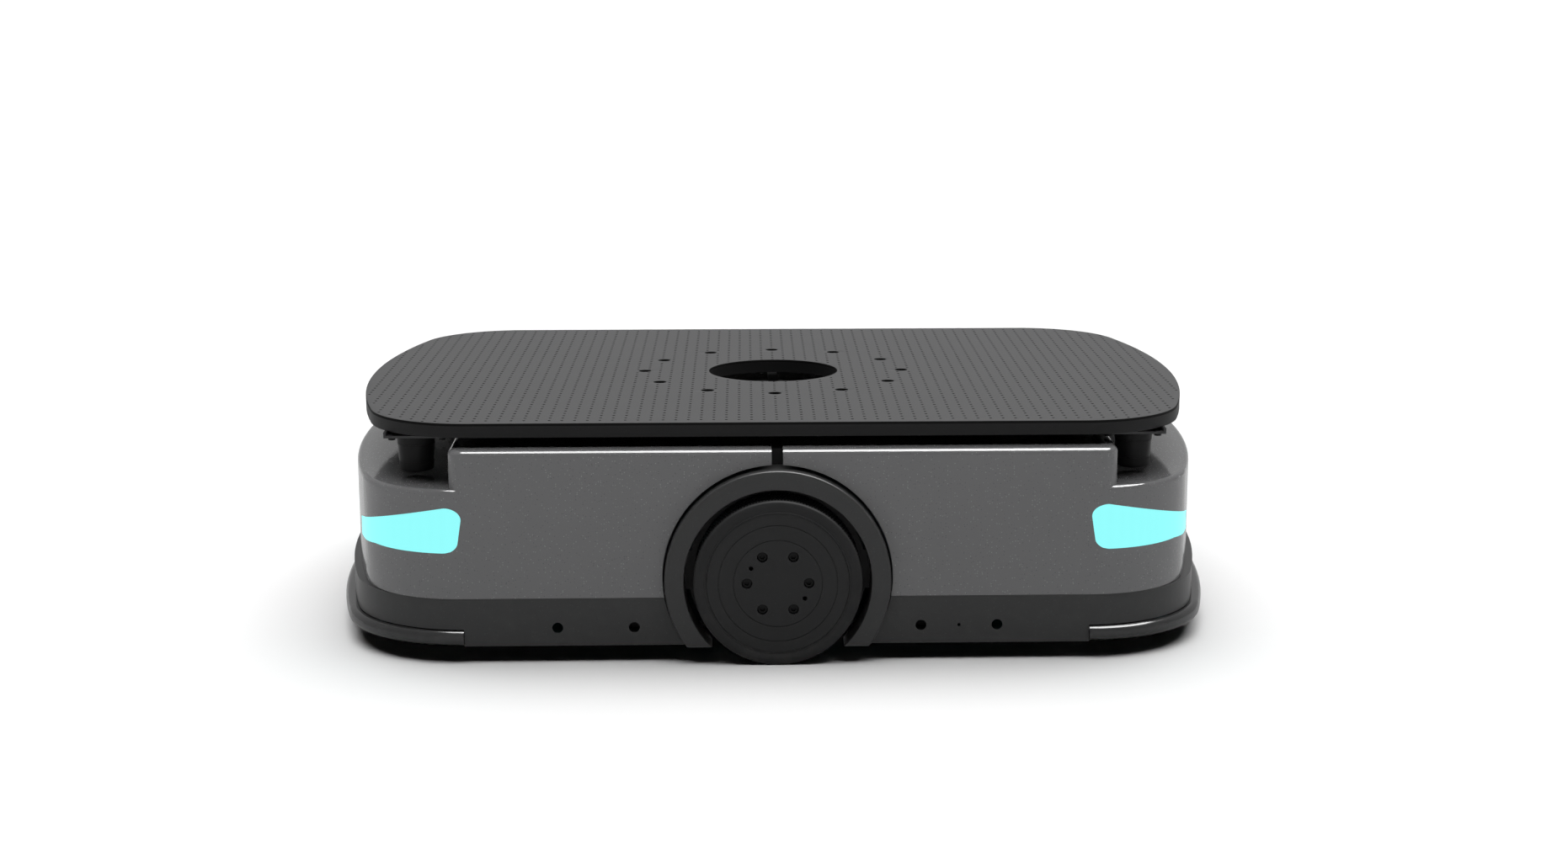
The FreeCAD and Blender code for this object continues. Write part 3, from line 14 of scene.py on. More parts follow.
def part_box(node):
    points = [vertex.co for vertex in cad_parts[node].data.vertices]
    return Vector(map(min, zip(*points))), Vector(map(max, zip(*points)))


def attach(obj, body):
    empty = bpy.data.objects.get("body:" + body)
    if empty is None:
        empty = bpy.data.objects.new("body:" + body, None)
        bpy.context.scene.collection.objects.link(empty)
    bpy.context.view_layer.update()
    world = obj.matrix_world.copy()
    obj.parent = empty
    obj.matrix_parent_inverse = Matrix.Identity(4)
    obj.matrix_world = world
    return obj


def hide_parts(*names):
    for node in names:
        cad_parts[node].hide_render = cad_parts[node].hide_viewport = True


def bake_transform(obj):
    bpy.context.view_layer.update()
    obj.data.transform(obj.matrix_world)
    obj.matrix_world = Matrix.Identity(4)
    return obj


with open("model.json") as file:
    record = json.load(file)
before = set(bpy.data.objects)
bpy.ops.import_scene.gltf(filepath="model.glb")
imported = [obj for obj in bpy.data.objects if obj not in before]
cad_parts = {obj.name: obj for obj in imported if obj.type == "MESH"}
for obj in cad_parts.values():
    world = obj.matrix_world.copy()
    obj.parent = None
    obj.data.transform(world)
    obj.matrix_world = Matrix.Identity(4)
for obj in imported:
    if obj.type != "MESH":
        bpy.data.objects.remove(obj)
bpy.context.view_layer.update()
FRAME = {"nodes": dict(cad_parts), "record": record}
LOG = logging.getLogger("mobile_robot")
FLAT = 1e-6

Colour = tuple[float, float, float]
Input = Union[float, Sequence[float], "Value", bpy.types.NodeSocket]


# ------------------------------------------------------------------ shader tools


class Value:
    """A number in a material that takes part in Python arithmetic."""

    def __init__(self, paint: "Paint", socket: bpy.types.NodeSocket) -> None:
        """Wraps one output socket.

        Args:
            paint: the material that the socket belongs to.
            socket: the output that carries the number.
        """
        self.paint = paint
        self.socket = socket

    def _math(self, operation: str, *others: Input, first: bool = True) -> "Value":
        """Adds one Math node.

        Args:
            operation: the Math node's operation.
            others: the other inputs, in order.
            first: whether this value is the first input or the last.

        Returns:
            The node's result.
        """
        inputs = (self, *others) if first else (*others, self)
        node = self.paint.node(
            "ShaderNodeMath", {"operation": operation}, dict(enumerate(inputs))
        )
        return Value(self.paint, node.outputs[0])

    def __add__(self, other: Input) -> "Value":
        """Sum."""
        return self._math("ADD", other)

    __radd__ = __add__

    def __mul__(self, other: Input) -> "Value":
        """Product."""
        return self._math("MULTIPLY", other)

    __rmul__ = __mul__

    def __sub__(self, other: Input) -> "Value":
        """Difference."""
        return self._math("SUBTRACT", other)

    def __rsub__(self, other: Input) -> "Value":
        """Difference with this value taken away."""
        return self._math("SUBTRACT", other, first=False)

    def __abs__(self) -> "Value":
        """Size without its sign."""
        return self._math("ABSOLUTE")

    def __lt__(self, other: Input) -> "Value":
        """1 where this value is below the other, else 0."""
        return self._math("LESS_THAN", other)

    def __gt__(self, other: Input) -> "Value":
        """1 where this value is above the other, else 0."""
        return self._math("GREATER_THAN", other)

    def wave(self) -> "Value":
        """Sine of this value in radians."""
        return self._math("SINE")

    def step(self, low: float, high: float) -> "Value":
        """A smooth step from 0 at low to 1 at high.

        Args:
            low: value that gives 0.
            high: value that gives 1.

        Returns:
            The eased value.
        """
        node = self.paint.node(
            "ShaderNodeMapRange",
            {"interpolation_type": "SMOOTHSTEP"},
            {"Value": self, "From Min": low, "From Max": high},
        )
        return Value(self.paint, node.outputs[0])


class Paint:
    """Builds one material of nodes round a Principled shader."""

    def __init__(self, name: str) -> None:
        """Starts the material.

        Args:
            name: the material's name.
        """
        self.material = bpy.data.materials.new(name)
        self.material.use_nodes = True
        self.tree = self.material.node_tree
        self.tree.nodes.clear()
        self.shader = self.node("ShaderNodeBsdfPrincipled")
        self.node("ShaderNodeOutputMaterial", {}, {"Surface": self.shader.outputs[0]})

    def node(
        self,
        kind: str,
        settings: Mapping[str, Any] | None = None,
        inputs: Mapping[Union[str, int], Input] | None = None,
    ) -> bpy.types.Node:
        """Adds a node.

        Args:
            kind: the node's type.
            settings: its own properties, set before its inputs.
            inputs: values or links by socket name or number.

        Returns:
            The node.
        """
        node = self.tree.nodes.new(kind)
        for key, setting in (settings or {}).items():
            setattr(node, key, setting)
        for key, value in (inputs or {}).items():
            self.feed(node.inputs[key], value)
        return node

    def feed(self, socket: bpy.types.NodeSocket, value: Input) -> None:
        """Links or sets one input.

        Args:
            socket: the input.
            value: a value, a socket or a constant.
        """
        if isinstance(value, Value):
            self.tree.links.new(value.socket, socket)
        elif isinstance(value, bpy.types.NodeSocket):
            self.tree.links.new(value, socket)
        else:
            socket.default_value = value

    def finish(self, inputs: Mapping[str, Input]) -> bpy.types.Material:
        """Feeds the shader.

        Args:
            inputs: values or links by socket name.

        Returns:
            The finished material.
        """
        for name, value in inputs.items():
            self.feed(self.shader.inputs[name], value)
        return self.material

    def place(self, stretch: Sequence[float] = (1.0, 1.0, 1.0)) -> bpy.types.NodeSocket:
        """Object coordinates, stretched along the axes.

        Args:
            stretch: factors along X, Y and Z.

        Returns:
            The coordinates in metres times those factors.
        """
        source = self.node("ShaderNodeTexCoord").outputs["Object"]
        node = self.node("ShaderNodeMapping", {}, {"Vector": source, "Scale": stretch})
        return node.outputs[0]

    def axes(self, place: bpy.types.NodeSocket) -> tuple[Value, Value, Value]:
        """The three parts of a place.

        Args:
            place: the coordinates.

        Returns:
            X, Y and Z.
        """
        node = self.node("ShaderNodeSeparateXYZ", {}, {"Vector": place})
        return tuple(Value(self, socket) for socket in node.outputs)

    def noise(
        self, place: bpy.types.NodeSocket, size: float, detail: float = 2.0, rough: float = 0.5
    ) -> Value:
        """Soft noise from 0 to 1.

        Args:
            place: the coordinates.
            size: rough width of its blotches, in metres.
            detail: octaves.
            rough: weight of the finer octaves.

        Returns:
            The noise.
        """
        node = self.node(
            "ShaderNodeTexNoise",
            {},
            {"Vector": place, "Scale": 1.0 / size, "Detail": detail, "Roughness": rough},
        )
        return Value(self, node.outputs["Fac"])

    def cells(self, place: bpy.types.NodeSocket, size: float) -> tuple[Value, Value]:
        """Scattered points.

        Args:
            place: the coordinates.
            size: spacing of the points, in metres.

        Returns:
            The distance to the nearest point, in spacings, and a random number for it.
        """
        node = self.node("ShaderNodeTexVoronoi", {}, {"Vector": place, "Scale": 1.0 / size})
        colour = self.node("ShaderNodeSeparateColor", {}, {"Color": node.outputs["Color"]})
        return Value(self, node.outputs["Distance"]), Value(self, colour.outputs[0])

    def mix(self, share: Input, low: Input, high: Input) -> bpy.types.NodeSocket:
        """Mixes two colours.

        Args:
            share: 0 for low, 1 for high.
            low: colour or link.
            high: colour or link.

        Returns:
            The mixed colour.
        """
        node = self.node("ShaderNodeMix", {"data_type": "RGBA"}, {"Factor": share})
        for name, colour in (("A", low), ("B", high)):
            socket = next(s for s in node.inputs if s.name == name and s.type == "RGBA")
            constant = isinstance(colour, tuple)
            self.feed(socket, (*colour, 1.0) if constant else colour)
        return next(s for s in node.outputs if s.type == "RGBA")

    def bump(self, height: Input, metres: float) -> bpy.types.NodeSocket:
        """A bumped normal.

        Args:
            height: the relief, from 0 to 1.
            metres: its depth.

        Returns:
            The normal.
        """
        node = self.node("ShaderNodeBump", {}, {"Height": height, "Distance": metres})
        return node.outputs[0]


# ---------------------------------------------------------------------- finishes


def shade(colour: Colour, factor: float) -> Colour:
    """A colour made lighter or darker.

    Args:
        colour: linear red, green and blue.
        factor: what each is multiplied by.

    Returns:
        The new colour, each part at most 1.
    """
    return tuple(min(1.0, part * factor) for part in colour)


class Lay(Enum):
    """The direction in which a machined surface was finished."""

    NONE = (1.0, 1.0, 1.0)
    ALONG = (0.04, 1.0, 1.0)
    ACROSS = (1.0, 0.04, 1.0)
    UPRIGHT = (1.0, 1.0, 0.04)


@dataclass(frozen=True)
class Finish:
    """A moulded, coated, cast or machined surface.

    Attributes:
        name: the material's name.
        colour: its mean colour, linear.
        roughness: its mean roughness.
        metallic: 1 for bare metal.
        specular: strength of its reflection.
        coat: weight of a clear coat.
        mottle: how far the colour and gloss drift, as a share.
        mottle_size: width of that drift, in metres.
        specks: contrast of its fine specks.
        speck_size: spacing of the specks, in metres.
        grain: depth of its fine relief, in metres.
        grain_size: width of that relief, in metres.
        lay: direction of the machining marks.
        dust: share of pale dust that settles low down, in patches.
        slot: the record's slot that it belongs to, where its name isn't one.
    """

    name: str
    colour: Colour
    roughness: float = 0.5
    metallic: float = 0.0
    specular: float = 0.5
    coat: float = 0.0
    mottle: float = 0.08
    mottle_size: float = 0.05
    specks: float = 0.0
    speck_size: float = 0.003
    grain: float = 0.00004
    grain_size: float = 0.0012
    lay: Lay = Lay.NONE
    dust: float = 0.0
    slot: str = ""

    def material(self) -> bpy.types.Material:
        """Builds the material of nodes."""
        paint = Paint(self.name)
        place = paint.place()
        drift = paint.noise(place, self.mottle_size, detail=4.0)
        marks = paint.noise(paint.place(self.lay.value), self.grain_size, detail=3.0)
        colour = paint.mix(
            drift, shade(self.colour, 1.0 - self.mottle), shade(self.colour, 1.0 + self.mottle)
        )
        if self.lay is not Lay.NONE:
            colour = paint.mix(marks * 0.35, colour, shade(self.colour, 1.5))
        if self.specks:
            colour = self._speckled(paint, place, colour)
        if self.dust:
            colour = self._dusted(paint, place, colour)
        rough = drift * (2.0 * self.mottle * self.roughness) + self.roughness * (
            1.0 - self.mottle
        )
        rough = rough + (marks - 0.5) * 0.08
        return paint.finish({
            "Base Color": colour,
            "Roughness": rough,
            "Normal": paint.bump(marks, self.grain),
            "Metallic": self.metallic,
            "Specular IOR Level": self.specular,
            "Coat Weight": self.coat,
            "Coat Roughness": 0.12,
        })

    def _speckled(
        self, paint: Paint, place: bpy.types.NodeSocket, colour: bpy.types.NodeSocket
    ) -> bpy.types.NodeSocket:
        """Adds light and dark specks to a colour.

        Args:
            paint: the material being built.
            place: its coordinates.
            colour: the colour so far.

        Returns:
            The speckled colour.
        """
        distance, chance = paint.cells(place, self.speck_size)
        dot = 1.0 - distance.step(0.12, 0.3)
        light = dot * (chance > 0.72) * self.specks
        dark = dot * (chance < 0.3) * self.specks
        colour = paint.mix(light, colour, shade(self.colour, 2.4))
        return paint.mix(dark, colour, shade(self.colour, 0.35))

    def _dusted(
        self, paint: Paint, place: bpy.types.NodeSocket, colour: bpy.types.NodeSocket
    ) -> bpy.types.NodeSocket:
        """Adds pale dust to a colour.

        Args:
            paint: the material being built.
            place: its coordinates.
            colour: the colour so far.

        Returns:
            The dusted colour.
        """
        height = paint.axes(place)[2]
        low_down = 1.0 - height.step(0.0, 0.16)
        patches = paint.noise(place, 0.02, detail=5.0, rough=0.65).step(0.42, 0.75)
        return paint.mix(patches * low_down * self.dust, colour, (0.2, 0.19, 0.18))


@dataclass(frozen=True)
class LitLens:
    """The diffusing lens of a corner light, lit from behind.

    Attributes:
        name: the material's name.
        colour: colour of the light, linear.
        strength: its brightness.
        pitch: spacing of the lamps behind it, in metres.
        slot: as in the other finishes.
    """

    name: str
    colour: Colour
    strength: float
    pitch: float
    slot: str = ""

    def material(self) -> bpy.types.Material:
        """Builds the material of nodes."""
        paint = Paint(self.name)
        place = paint.place()
        x, y, _ = paint.axes(place)
        across = (abs(x) - abs(y)) * (2.0 * math.pi / (self.pitch * math.sqrt(2.0)))
        lamps = across.wave() * 0.5 + 0.5
        cloud = paint.noise(place, 0.02, detail=3.0)
        glow = paint.mix(
            lamps * 0.35 + cloud * 0.3, shade(self.colour, 0.97), shade(self.colour, 1.0)
        )
        body = paint.mix(cloud, shade(self.colour, 0.01), shade(self.colour, 0.02))
        return paint.finish({
            "Emission Color": glow,
            "Base Color": body,
            "Roughness": cloud * 0.1 + 0.3,
            "Specular IOR Level": 0.1,
            "Emission Strength": self.strength,
        })


class Finishes:
    """Every finish of the robot, by the record's material slot."""

    ALL = (
        Finish("frame_paint", (0.012, 0.012, 0.013), 0.55, grain=0.00006, dust=0.15),
        Finish("black_aluminium", (0.0115, 0.0115, 0.012), 0.5, specular=0.2, specks=0.25),
        Finish(
            "deck_sheet", (0.045, 0.045, 0.046), 0.55, specular=0.2, mottle=0.05,
            specks=0.2, speck_size=0.002,
        ),
        Finish("bare_aluminium", (0.5, 0.5, 0.51), 0.34, 1.0, lay=Lay.ALONG),
        Finish(
            "cover_shell", (0.147, 0.147, 0.15), 0.06, specular=0.55, mottle=0.04,
            mottle_size=0.12, specks=0.5, speck_size=0.0028, grain=0.00001, grain_size=0.0009,
        ),
        Finish(
            "skirt_plastic", (0.039, 0.039, 0.0395), 0.37, specular=0.3, mottle=0.05,
            mottle_size=0.08, specks=0.25, grain=0.00003, grain_size=0.001, dust=0.03,
        ),
        Finish(
            "bumper_rubber", (0.022, 0.022, 0.0225), 0.16, specular=0.6, mottle=0.06,
            grain=0.00003, grain_size=0.0015, dust=0.04,
        ),
        Finish("wheel_rim", (0.022, 0.022, 0.0225), 0.5, specular=0.2, mottle=0.1, specks=0.25),
        Finish(
            "wheel_tread", (0.018, 0.018, 0.0185), 0.6, specular=0.2, mottle=0.12,
            grain=0.00006, grain_size=0.0012, dust=0.06,
        ),
        Finish("bright_steel", (0.45, 0.45, 0.46), 0.28, 1.0, lay=Lay.UPRIGHT),
        Finish("screw_steel", (0.0035, 0.0035, 0.0037), 0.42, specular=0.2, specks=0.2),
        Finish("spring_steel", (0.3, 0.3, 0.31), 0.3, 1.0, mottle=0.15),
        Finish("motor_housing", (0.02, 0.02, 0.022), 0.5, specks=0.3, lay=Lay.ACROSS),
        Finish(
            "gearbox_housing", (0.3, 0.31, 0.32), 0.48, 1.0, mottle=0.15, grain=0.0002,
            grain_size=0.0016,
        ),
        Finish("caster_tread", (0.02, 0.02, 0.021), 0.6, specular=0.25, grain=0.0001, dust=0.2),
        Finish("scanner_housing", (0.017, 0.017, 0.0174), 0.5, specular=0.12, mottle=0.1),
        Finish("battery_case", (0.018, 0.019, 0.026), 0.55, grain=0.0001),
        Finish("controller_case", (0.22, 0.23, 0.25), 0.4, 0.8, lay=Lay.ALONG),
        Finish("panel_plastic", (0.014, 0.014, 0.015), 0.45, grain=0.0001, grain_size=0.0008),
        Finish("stop_red", (0.55, 0.012, 0.01), 0.28, coat=0.3, mottle=0.05, grain=0.00001),
        Finish("power_cap", (0.04, 0.3, 0.09), 0.25, coat=0.3, mottle=0.05, grain=0.00001),
        Finish("contact_copper", (0.72, 0.43, 0.2), 0.25, 1.0, lay=Lay.ACROSS),
        LitLens("light_lens", (0.302, 1.0, 1.0), 1.0, 0.012),
        Finish(
            "hub_steel", (0.045, 0.045, 0.046), 0.42, 0.8, lay=Lay.UPRIGHT,
            slot="bright_steel",
        ),
        Finish(
            "carrier_coat", (0.04, 0.04, 0.0405), 0.5, specular=0.3, specks=0.25,
            slot="black_aluminium",
        ),
        # near black: the sheet's cut edges, and in the holes the dark plate below plus painted
        # shade for their depth
        Finish("deck_edge_and_painted_hole_shade", (0.004, 0.004, 0.004), 0.6, specular=0.08, slot="deck_sheet"),
        Finish(
            "scanner_window", (0.0145, 0.0145, 0.015), 0.3, specular=0.12,
            slot="scanner_housing",
        ),
        Finish(
            "bracket_steel", (0.035, 0.035, 0.036), 0.3, 0.4, specular=0.5, lay=Lay.ALONG,
            slot="bare_aluminium",
        ),
        Finish(
            "caster_hub", (0.12, 0.12, 0.125), 0.45, specular=0.4, grain=0.0001,
            slot="caster_tread",
        ),
        Finish("seal_rubber", (0.008, 0.008, 0.008), 0.7, specular=0.2, slot="panel_plastic"),
    )

    OWN = {
        "drive_carrier_left": "carrier_coat",
        "drive_carrier_right": "carrier_coat",
        "wheel_hub_left": "hub_steel",
        "wheel_hub_right": "hub_steel",
    }

    def __init__(self) -> None:
        """Builds each material once."""
        self.materials = {finish.name: finish.material() for finish in self.ALL}

    def slot_of(self, name: str) -> str:
        """The record's slot that a finish belongs to."""
        finish = next(finish for finish in self.ALL if finish.name == name)
        return finish.slot or name

    def __getitem__(self, name: str) -> bpy.types.Material:
        """The material of a slot."""
        return self.materials[name]

    def dress_nodes(self) -> None:
        """Gives every CAD node the finish of its slot, or its own."""
        slots = {part["node"]: part["material_slot"] for part in FRAME["record"]["subparts"]}
        for name, node in FRAME["nodes"].items():
            finish = self.OWN.get(name, slots[name])
            node.data.materials.clear()
            node.data.materials.append(self[finish])
            LOG.info("node %s has finish %s", name, finish)


# ------------------------------------------------------------------------ studio


@dataclass
class Studio:
    """Camera, soft lights, white surroundings and the pale floor.

    Attributes:
        camera_place: where the camera stands, in metres.
        camera_tilt: its downward tilt, in radians.
        camera_turn: its turn to the right, in radians.
        lens: focal length for a 36 mm sensor.
        side_shift: its sideways shift.
        mirrored: brightness of the surroundings in glossy surfaces.
        surround: brightness of the surroundings elsewhere.
        key: strength of the overhead light that gives the highlights.
        key_spread: its width in the sky, in degrees.
        key_lean: its turn about X and Y, in degrees.
        fill: strength of the broad light that gives the soft shadows.
        fill_spread: its width in the sky, in degrees.
        fill_lean: its turn about X and Y, in degrees.
        floor_size: side of the floor, in metres.
        floor_painted_reflection: its lightness where glossy surfaces reflect it, darker than the
            floor itself: painted shade on its reflection.
    """

    camera_place: tuple[float, float, float] = (-0.03678, -3.08496, 0.81575)
    camera_tilt: float = 0.197
    camera_turn: float = 0.0299
    lens: float = 53.87
    side_shift: float = -0.01962
    mirrored: float = 0.42
    surround: float = 0.0
    key: float = 10.5
    key_spread: float = 54.0
    key_lean: tuple[float, float] = (0.0, 12.0)
    fill: float = 4.45
    fill_spread: float = 78.0
    fill_lean: tuple[float, float] = (-13.0, 2.0)
    floor_size: float = 160.0
    floor_painted_reflection: float = 0.45

    def build(self) -> None:
        """Makes the whole studio."""
        self._camera()
        self._world()
        self._floor()
        key = self._overhead("key_light", self.key, self.key_spread, self.key_lean)
        key.visible_diffuse = False
        fill = self._overhead("fill_light", self.fill, self.fill_spread, self.fill_lean)
        fill.visible_glossy = False
        LOG.info("studio is set")

    def _camera(self) -> None:
        """Places the camera."""
        data = bpy.data.cameras.new("camera")
        data.sensor_width = 36.0
        data.lens = self.lens
        data.shift_x = self.side_shift
        data.clip_end = 100.0
        camera = bpy.data.objects.new("camera", data)
        camera.location = self.camera_place
        camera.rotation_euler = (math.pi / 2 - self.camera_tilt, 0.0, -self.camera_turn)
        bpy.context.scene.collection.objects.link(camera)
        bpy.context.scene.camera = camera

    def _world(self) -> None:
        """White surroundings, plain white behind the robot."""
        world = bpy.data.worlds.new("surroundings")
        world.use_nodes = True
        world.node_tree.nodes.clear()
        nodes, links = world.node_tree.nodes, world.node_tree.links
        path = nodes.new("ShaderNodeLightPath")
        shader = self._background(nodes, self.surround)
        for strength, ray in ((self.mirrored, "Is Glossy Ray"), (1.0, "Is Camera Ray")):
            choose = nodes.new("ShaderNodeMixShader")
            links.new(path.outputs[ray], choose.inputs[0])
            links.new(shader.outputs[0], choose.inputs[1])
            links.new(self._background(nodes, strength).outputs[0], choose.inputs[2])
            shader = choose
        output = nodes.new("ShaderNodeOutputWorld")
        links.new(shader.outputs[0], output.inputs["Surface"])
        bpy.context.scene.world = world
        bpy.context.scene.view_settings.view_transform = "Standard"

    @staticmethod
    def _background(nodes: bpy.types.Nodes, strength: float) -> bpy.types.Node:
        """A plain white background of some strength.

        Args:
            nodes: the nodes of the surroundings.
            strength: its brightness.

        Returns:
            The node.
        """
        node = nodes.new("ShaderNodeBackground")
        node.inputs["Color"].default_value = (1.0, 1.0, 1.0, 1.0)
        node.inputs["Strength"].default_value = strength
        return node

    def _floor(self) -> None:
        """A pale floor, painted darker where glossy surfaces reflect it: painted shade on its
        reflection.
        """
        bm = bmesh.new()
        bmesh.ops.create_grid(bm, x_segments=1, y_segments=1, size=self.floor_size / 2)
        floor = add_object("floor", bm)
        paint = Paint("pale_floor")
        haze = paint.noise(paint.place(), 0.6, detail=2.0)
        colour = paint.mix(haze, (0.79, 0.79, 0.79), (0.81, 0.81, 0.81))
        # painted shade: glossy rays see the floor darker than it is, which dims its reflection
        # in the robot
        glossy = paint.node("ShaderNodeLightPath").outputs["Is Glossy Ray"]
        colour = paint.mix(glossy, colour, (self.floor_painted_reflection,) * 3)
        inputs = {"Base Color": colour, "Roughness": 0.9, "Specular IOR Level": 0.0}
        floor.data.materials.append(paint.finish(inputs))

    @staticmethod
    def _overhead(
        name: str, strength: float, spread: float, lean: tuple[float, float]
    ) -> bpy.types.Object:
        """Broad light from above, the same over the whole floor.

        Args:
            name: the light's name.
            strength: its strength.
            spread: its width in the sky, in degrees.
            lean: its turn about X and Y, in degrees.

        Returns:
            The light.
        """
        data = bpy.data.lights.new(name, "SUN")
        data.energy = strength
        data.angle = math.radians(spread)
        light = bpy.data.objects.new(name, data)
        light.rotation_euler = (math.radians(lean[0]), math.radians(lean[1]), 0.0)
        bpy.context.scene.collection.objects.link(light)
        return light


# -------------------------------------------------------------------- mesh tools


def add_object(name: str, bm: bmesh.types.BMesh) -> bpy.types.Object:
    """Turns a bmesh into an object of the scene.

    Args:
        name: the object's name.
        bm: its mesh, which is freed.

    Returns:
        The object.
    """
    mesh = bpy.data.meshes.new(name)
    bm.to_mesh(mesh)
    bm.free()
    made = bpy.data.objects.new(name, mesh)
    bpy.context.scene.collection.objects.link(made)
    return made


def verts_of(made: Mapping[str, Any], key: str = "geom") -> list[bmesh.types.BMVert]:
    """The vertices in an operator's result."""
    return [item for item in made[key] if isinstance(item, bmesh.types.BMVert)]


def faces_of(made: Mapping[str, Any]) -> list[bmesh.types.BMFace]:
    """The faces in an operator's result."""
    return [item for item in made["geom"] if isinstance(item, bmesh.types.BMFace)]


def reach(face: bmesh.types.BMFace) -> float:
    """Distance from the Z axis to the middle of a face."""
    return face.calc_center_median().xy.length


def sector(face: bmesh.types.BMFace, steps: int) -> int:
    """Which step of a full turn about the Z axis a face lies in.

    Args:
        face: the face.
        steps: steps of the full turn.

    Returns:
        The step's number, which is never negative.
    """
    centre = face.calc_center_median()
    return int(math.atan2(centre.y, centre.x) / (2 * math.pi) * steps + steps)


def quarter(
    radius: float, height: float, rounding: float, steps: int
) -> list[tuple[float, float]]:
    """The rounded outer edge of a turned profile.

    Args:
        radius: radius of the side.
        height: height of the face.
        rounding: radius of the edge.
        steps: steps of the arc.

    Returns:
        Radius and height of its corners, from the face to the side.
    """
    angles = [math.pi / 2 / steps * index for index in range(steps + 1)]
    return [
        (radius - rounding * (1 - math.sin(a)), height - rounding * (1 - math.cos(a)))
        for a in angles
    ]


def lathe(profile: Sequence[tuple[float, float]], steps: int) -> bmesh.types.BMesh:
    """Spins a profile round the Z axis.

    Args:
        profile: radius and height of each corner, from one end to the other.
        steps: steps of the full turn.

    Returns:
        The turned solid, closed at its poles.
    """
    bm = bmesh.new()
    line = [bm.verts.new((radius, 0.0, height)) for radius, height in profile]
    edges = [bm.edges.new(pair) for pair in zip(line, line[1:])]
    if profile[0][0] > FLAT and profile[-1][0] > FLAT:
        edges.append(bm.edges.new((line[-1], line[0])))
    bmesh.ops.spin(
        bm, geom=line + edges, cent=(0, 0, 0), axis=(0, 0, 1), dvec=(0, 0, 0),
        angle=2 * math.pi, steps=steps, use_merge=True,
    )
    bmesh.ops.remove_doubles(bm, verts=bm.verts, dist=FLAT)
    bmesh.ops.recalc_face_normals(bm, faces=bm.faces)
    return bm


def soften(bm: bmesh.types.BMesh, degrees: float = 32.0) -> None:
    """Shades a mesh smooth and keeps its sharp edges.

    Args:
        bm: the mesh.
        degrees: edges turning by more than this stay sharp.
    """
    limit = math.radians(degrees)
    for face in bm.faces:
        face.smooth = True
    for edge in bm.edges:
        edge.smooth = edge.is_manifold and edge.calc_face_angle(0.0) < limit


def carry(bm: bmesh.types.BMesh, place: Sequence[float], turn: Matrix = Matrix()) -> None:
    """Turns and moves a whole mesh.

    Args:
        bm: the mesh.
        place: where its origin goes.
        turn: the turn, made first.
    """
    bmesh.ops.transform(bm, matrix=Matrix.Translation(place) @ turn, verts=bm.verts)


def join(target: bmesh.types.BMesh, extra: bmesh.types.BMesh) -> None:
    """Adds one mesh to another and frees it.

    Args:
        target: the mesh that grows.
        extra: the mesh that is added.
    """
    mesh = bpy.data.meshes.new("joint")
    extra.to_mesh(mesh)
    extra.free()
    target.from_mesh(mesh)
    bpy.data.meshes.remove(mesh)


def merged_copy(node: str) -> bmesh.types.BMesh:
    """A copy of a CAD node's mesh with its corners joined and its flats whole.

    Args:
        node: the node's name.

    Returns:
        The copy.
    """
    bm = bmesh.new()
    bm.from_mesh(FRAME["nodes"][node].data)
    bmesh.ops.remove_doubles(bm, verts=bm.verts, dist=FLAT)
    bmesh.ops.dissolve_limit(
        bm, angle_limit=math.radians(0.5), verts=bm.verts, edges=bm.edges
    )
    return bm


def round_edges(bm: bmesh.types.BMesh, radius: float, degrees: float = 40.0) -> None:
    """Rounds every edge that turns sharply.

    Args:
        bm: the mesh.
        radius: the rounding's width.
        degrees: edges turning by less stay as they are.
    """
    limit = math.radians(degrees)
    sharp = [edge for edge in bm.edges if edge.calc_face_angle(0.0) > limit]
    bmesh.ops.bevel(
        bm, geom=sharp, offset=radius, segments=2, profile=0.5, affect="EDGES", material=-1,
        clamp_overlap=True,
    )


def socket_screw(
    head: float, height: float, across: float, depth: float, sides: int = 24
) -> bmesh.types.BMesh:
    """A screw head with a hexagon socket, its top at height 0.

    Args:
        head: radius of the head.
        height: height of the head.
        across: the socket's corner radius.
        depth: depth of the socket.
        sides: facets round the head.

    Returns:
        The head, with a chamfered rim.
    """
    bm = bmesh.new()
    bmesh.ops.create_cone(
        bm, cap_ends=True, segments=sides, radius1=head, radius2=head, depth=height,
        matrix=Matrix.Translation((0, 0, -height / 2)),
    )
    top = max(bm.faces, key=lambda face: face.calc_center_median().z)
    rim = list(top.edges)
    bmesh.ops.bevel(
        bm, geom=rim, offset=head * 0.09, segments=2, profile=0.5, affect="EDGES", material=-1
    )
    top = max(bm.faces, key=lambda face: (face.calc_center_median().z, len(face.verts)))
    bmesh.ops.inset_region(bm, faces=[top], thickness=head * 0.3, depth=0.0)
    for vert in top.verts:
        angle = math.atan2(vert.co.y, vert.co.x) % (math.pi / 3) - math.pi / 6
        reach = across * math.cos(math.pi / 6) / math.cos(angle)
        vert.co.xy = vert.co.xy.normalized() * reach
    bottom = bmesh.ops.extrude_face_region(bm, geom=[top])
    bmesh.ops.delete(bm, geom=[top], context="FACES_ONLY")
    bmesh.ops.translate(bm, vec=(0, 0, -depth), verts=verts_of(bottom))
    bmesh.ops.recalc_face_normals(bm, faces=bm.faces)
    return bm


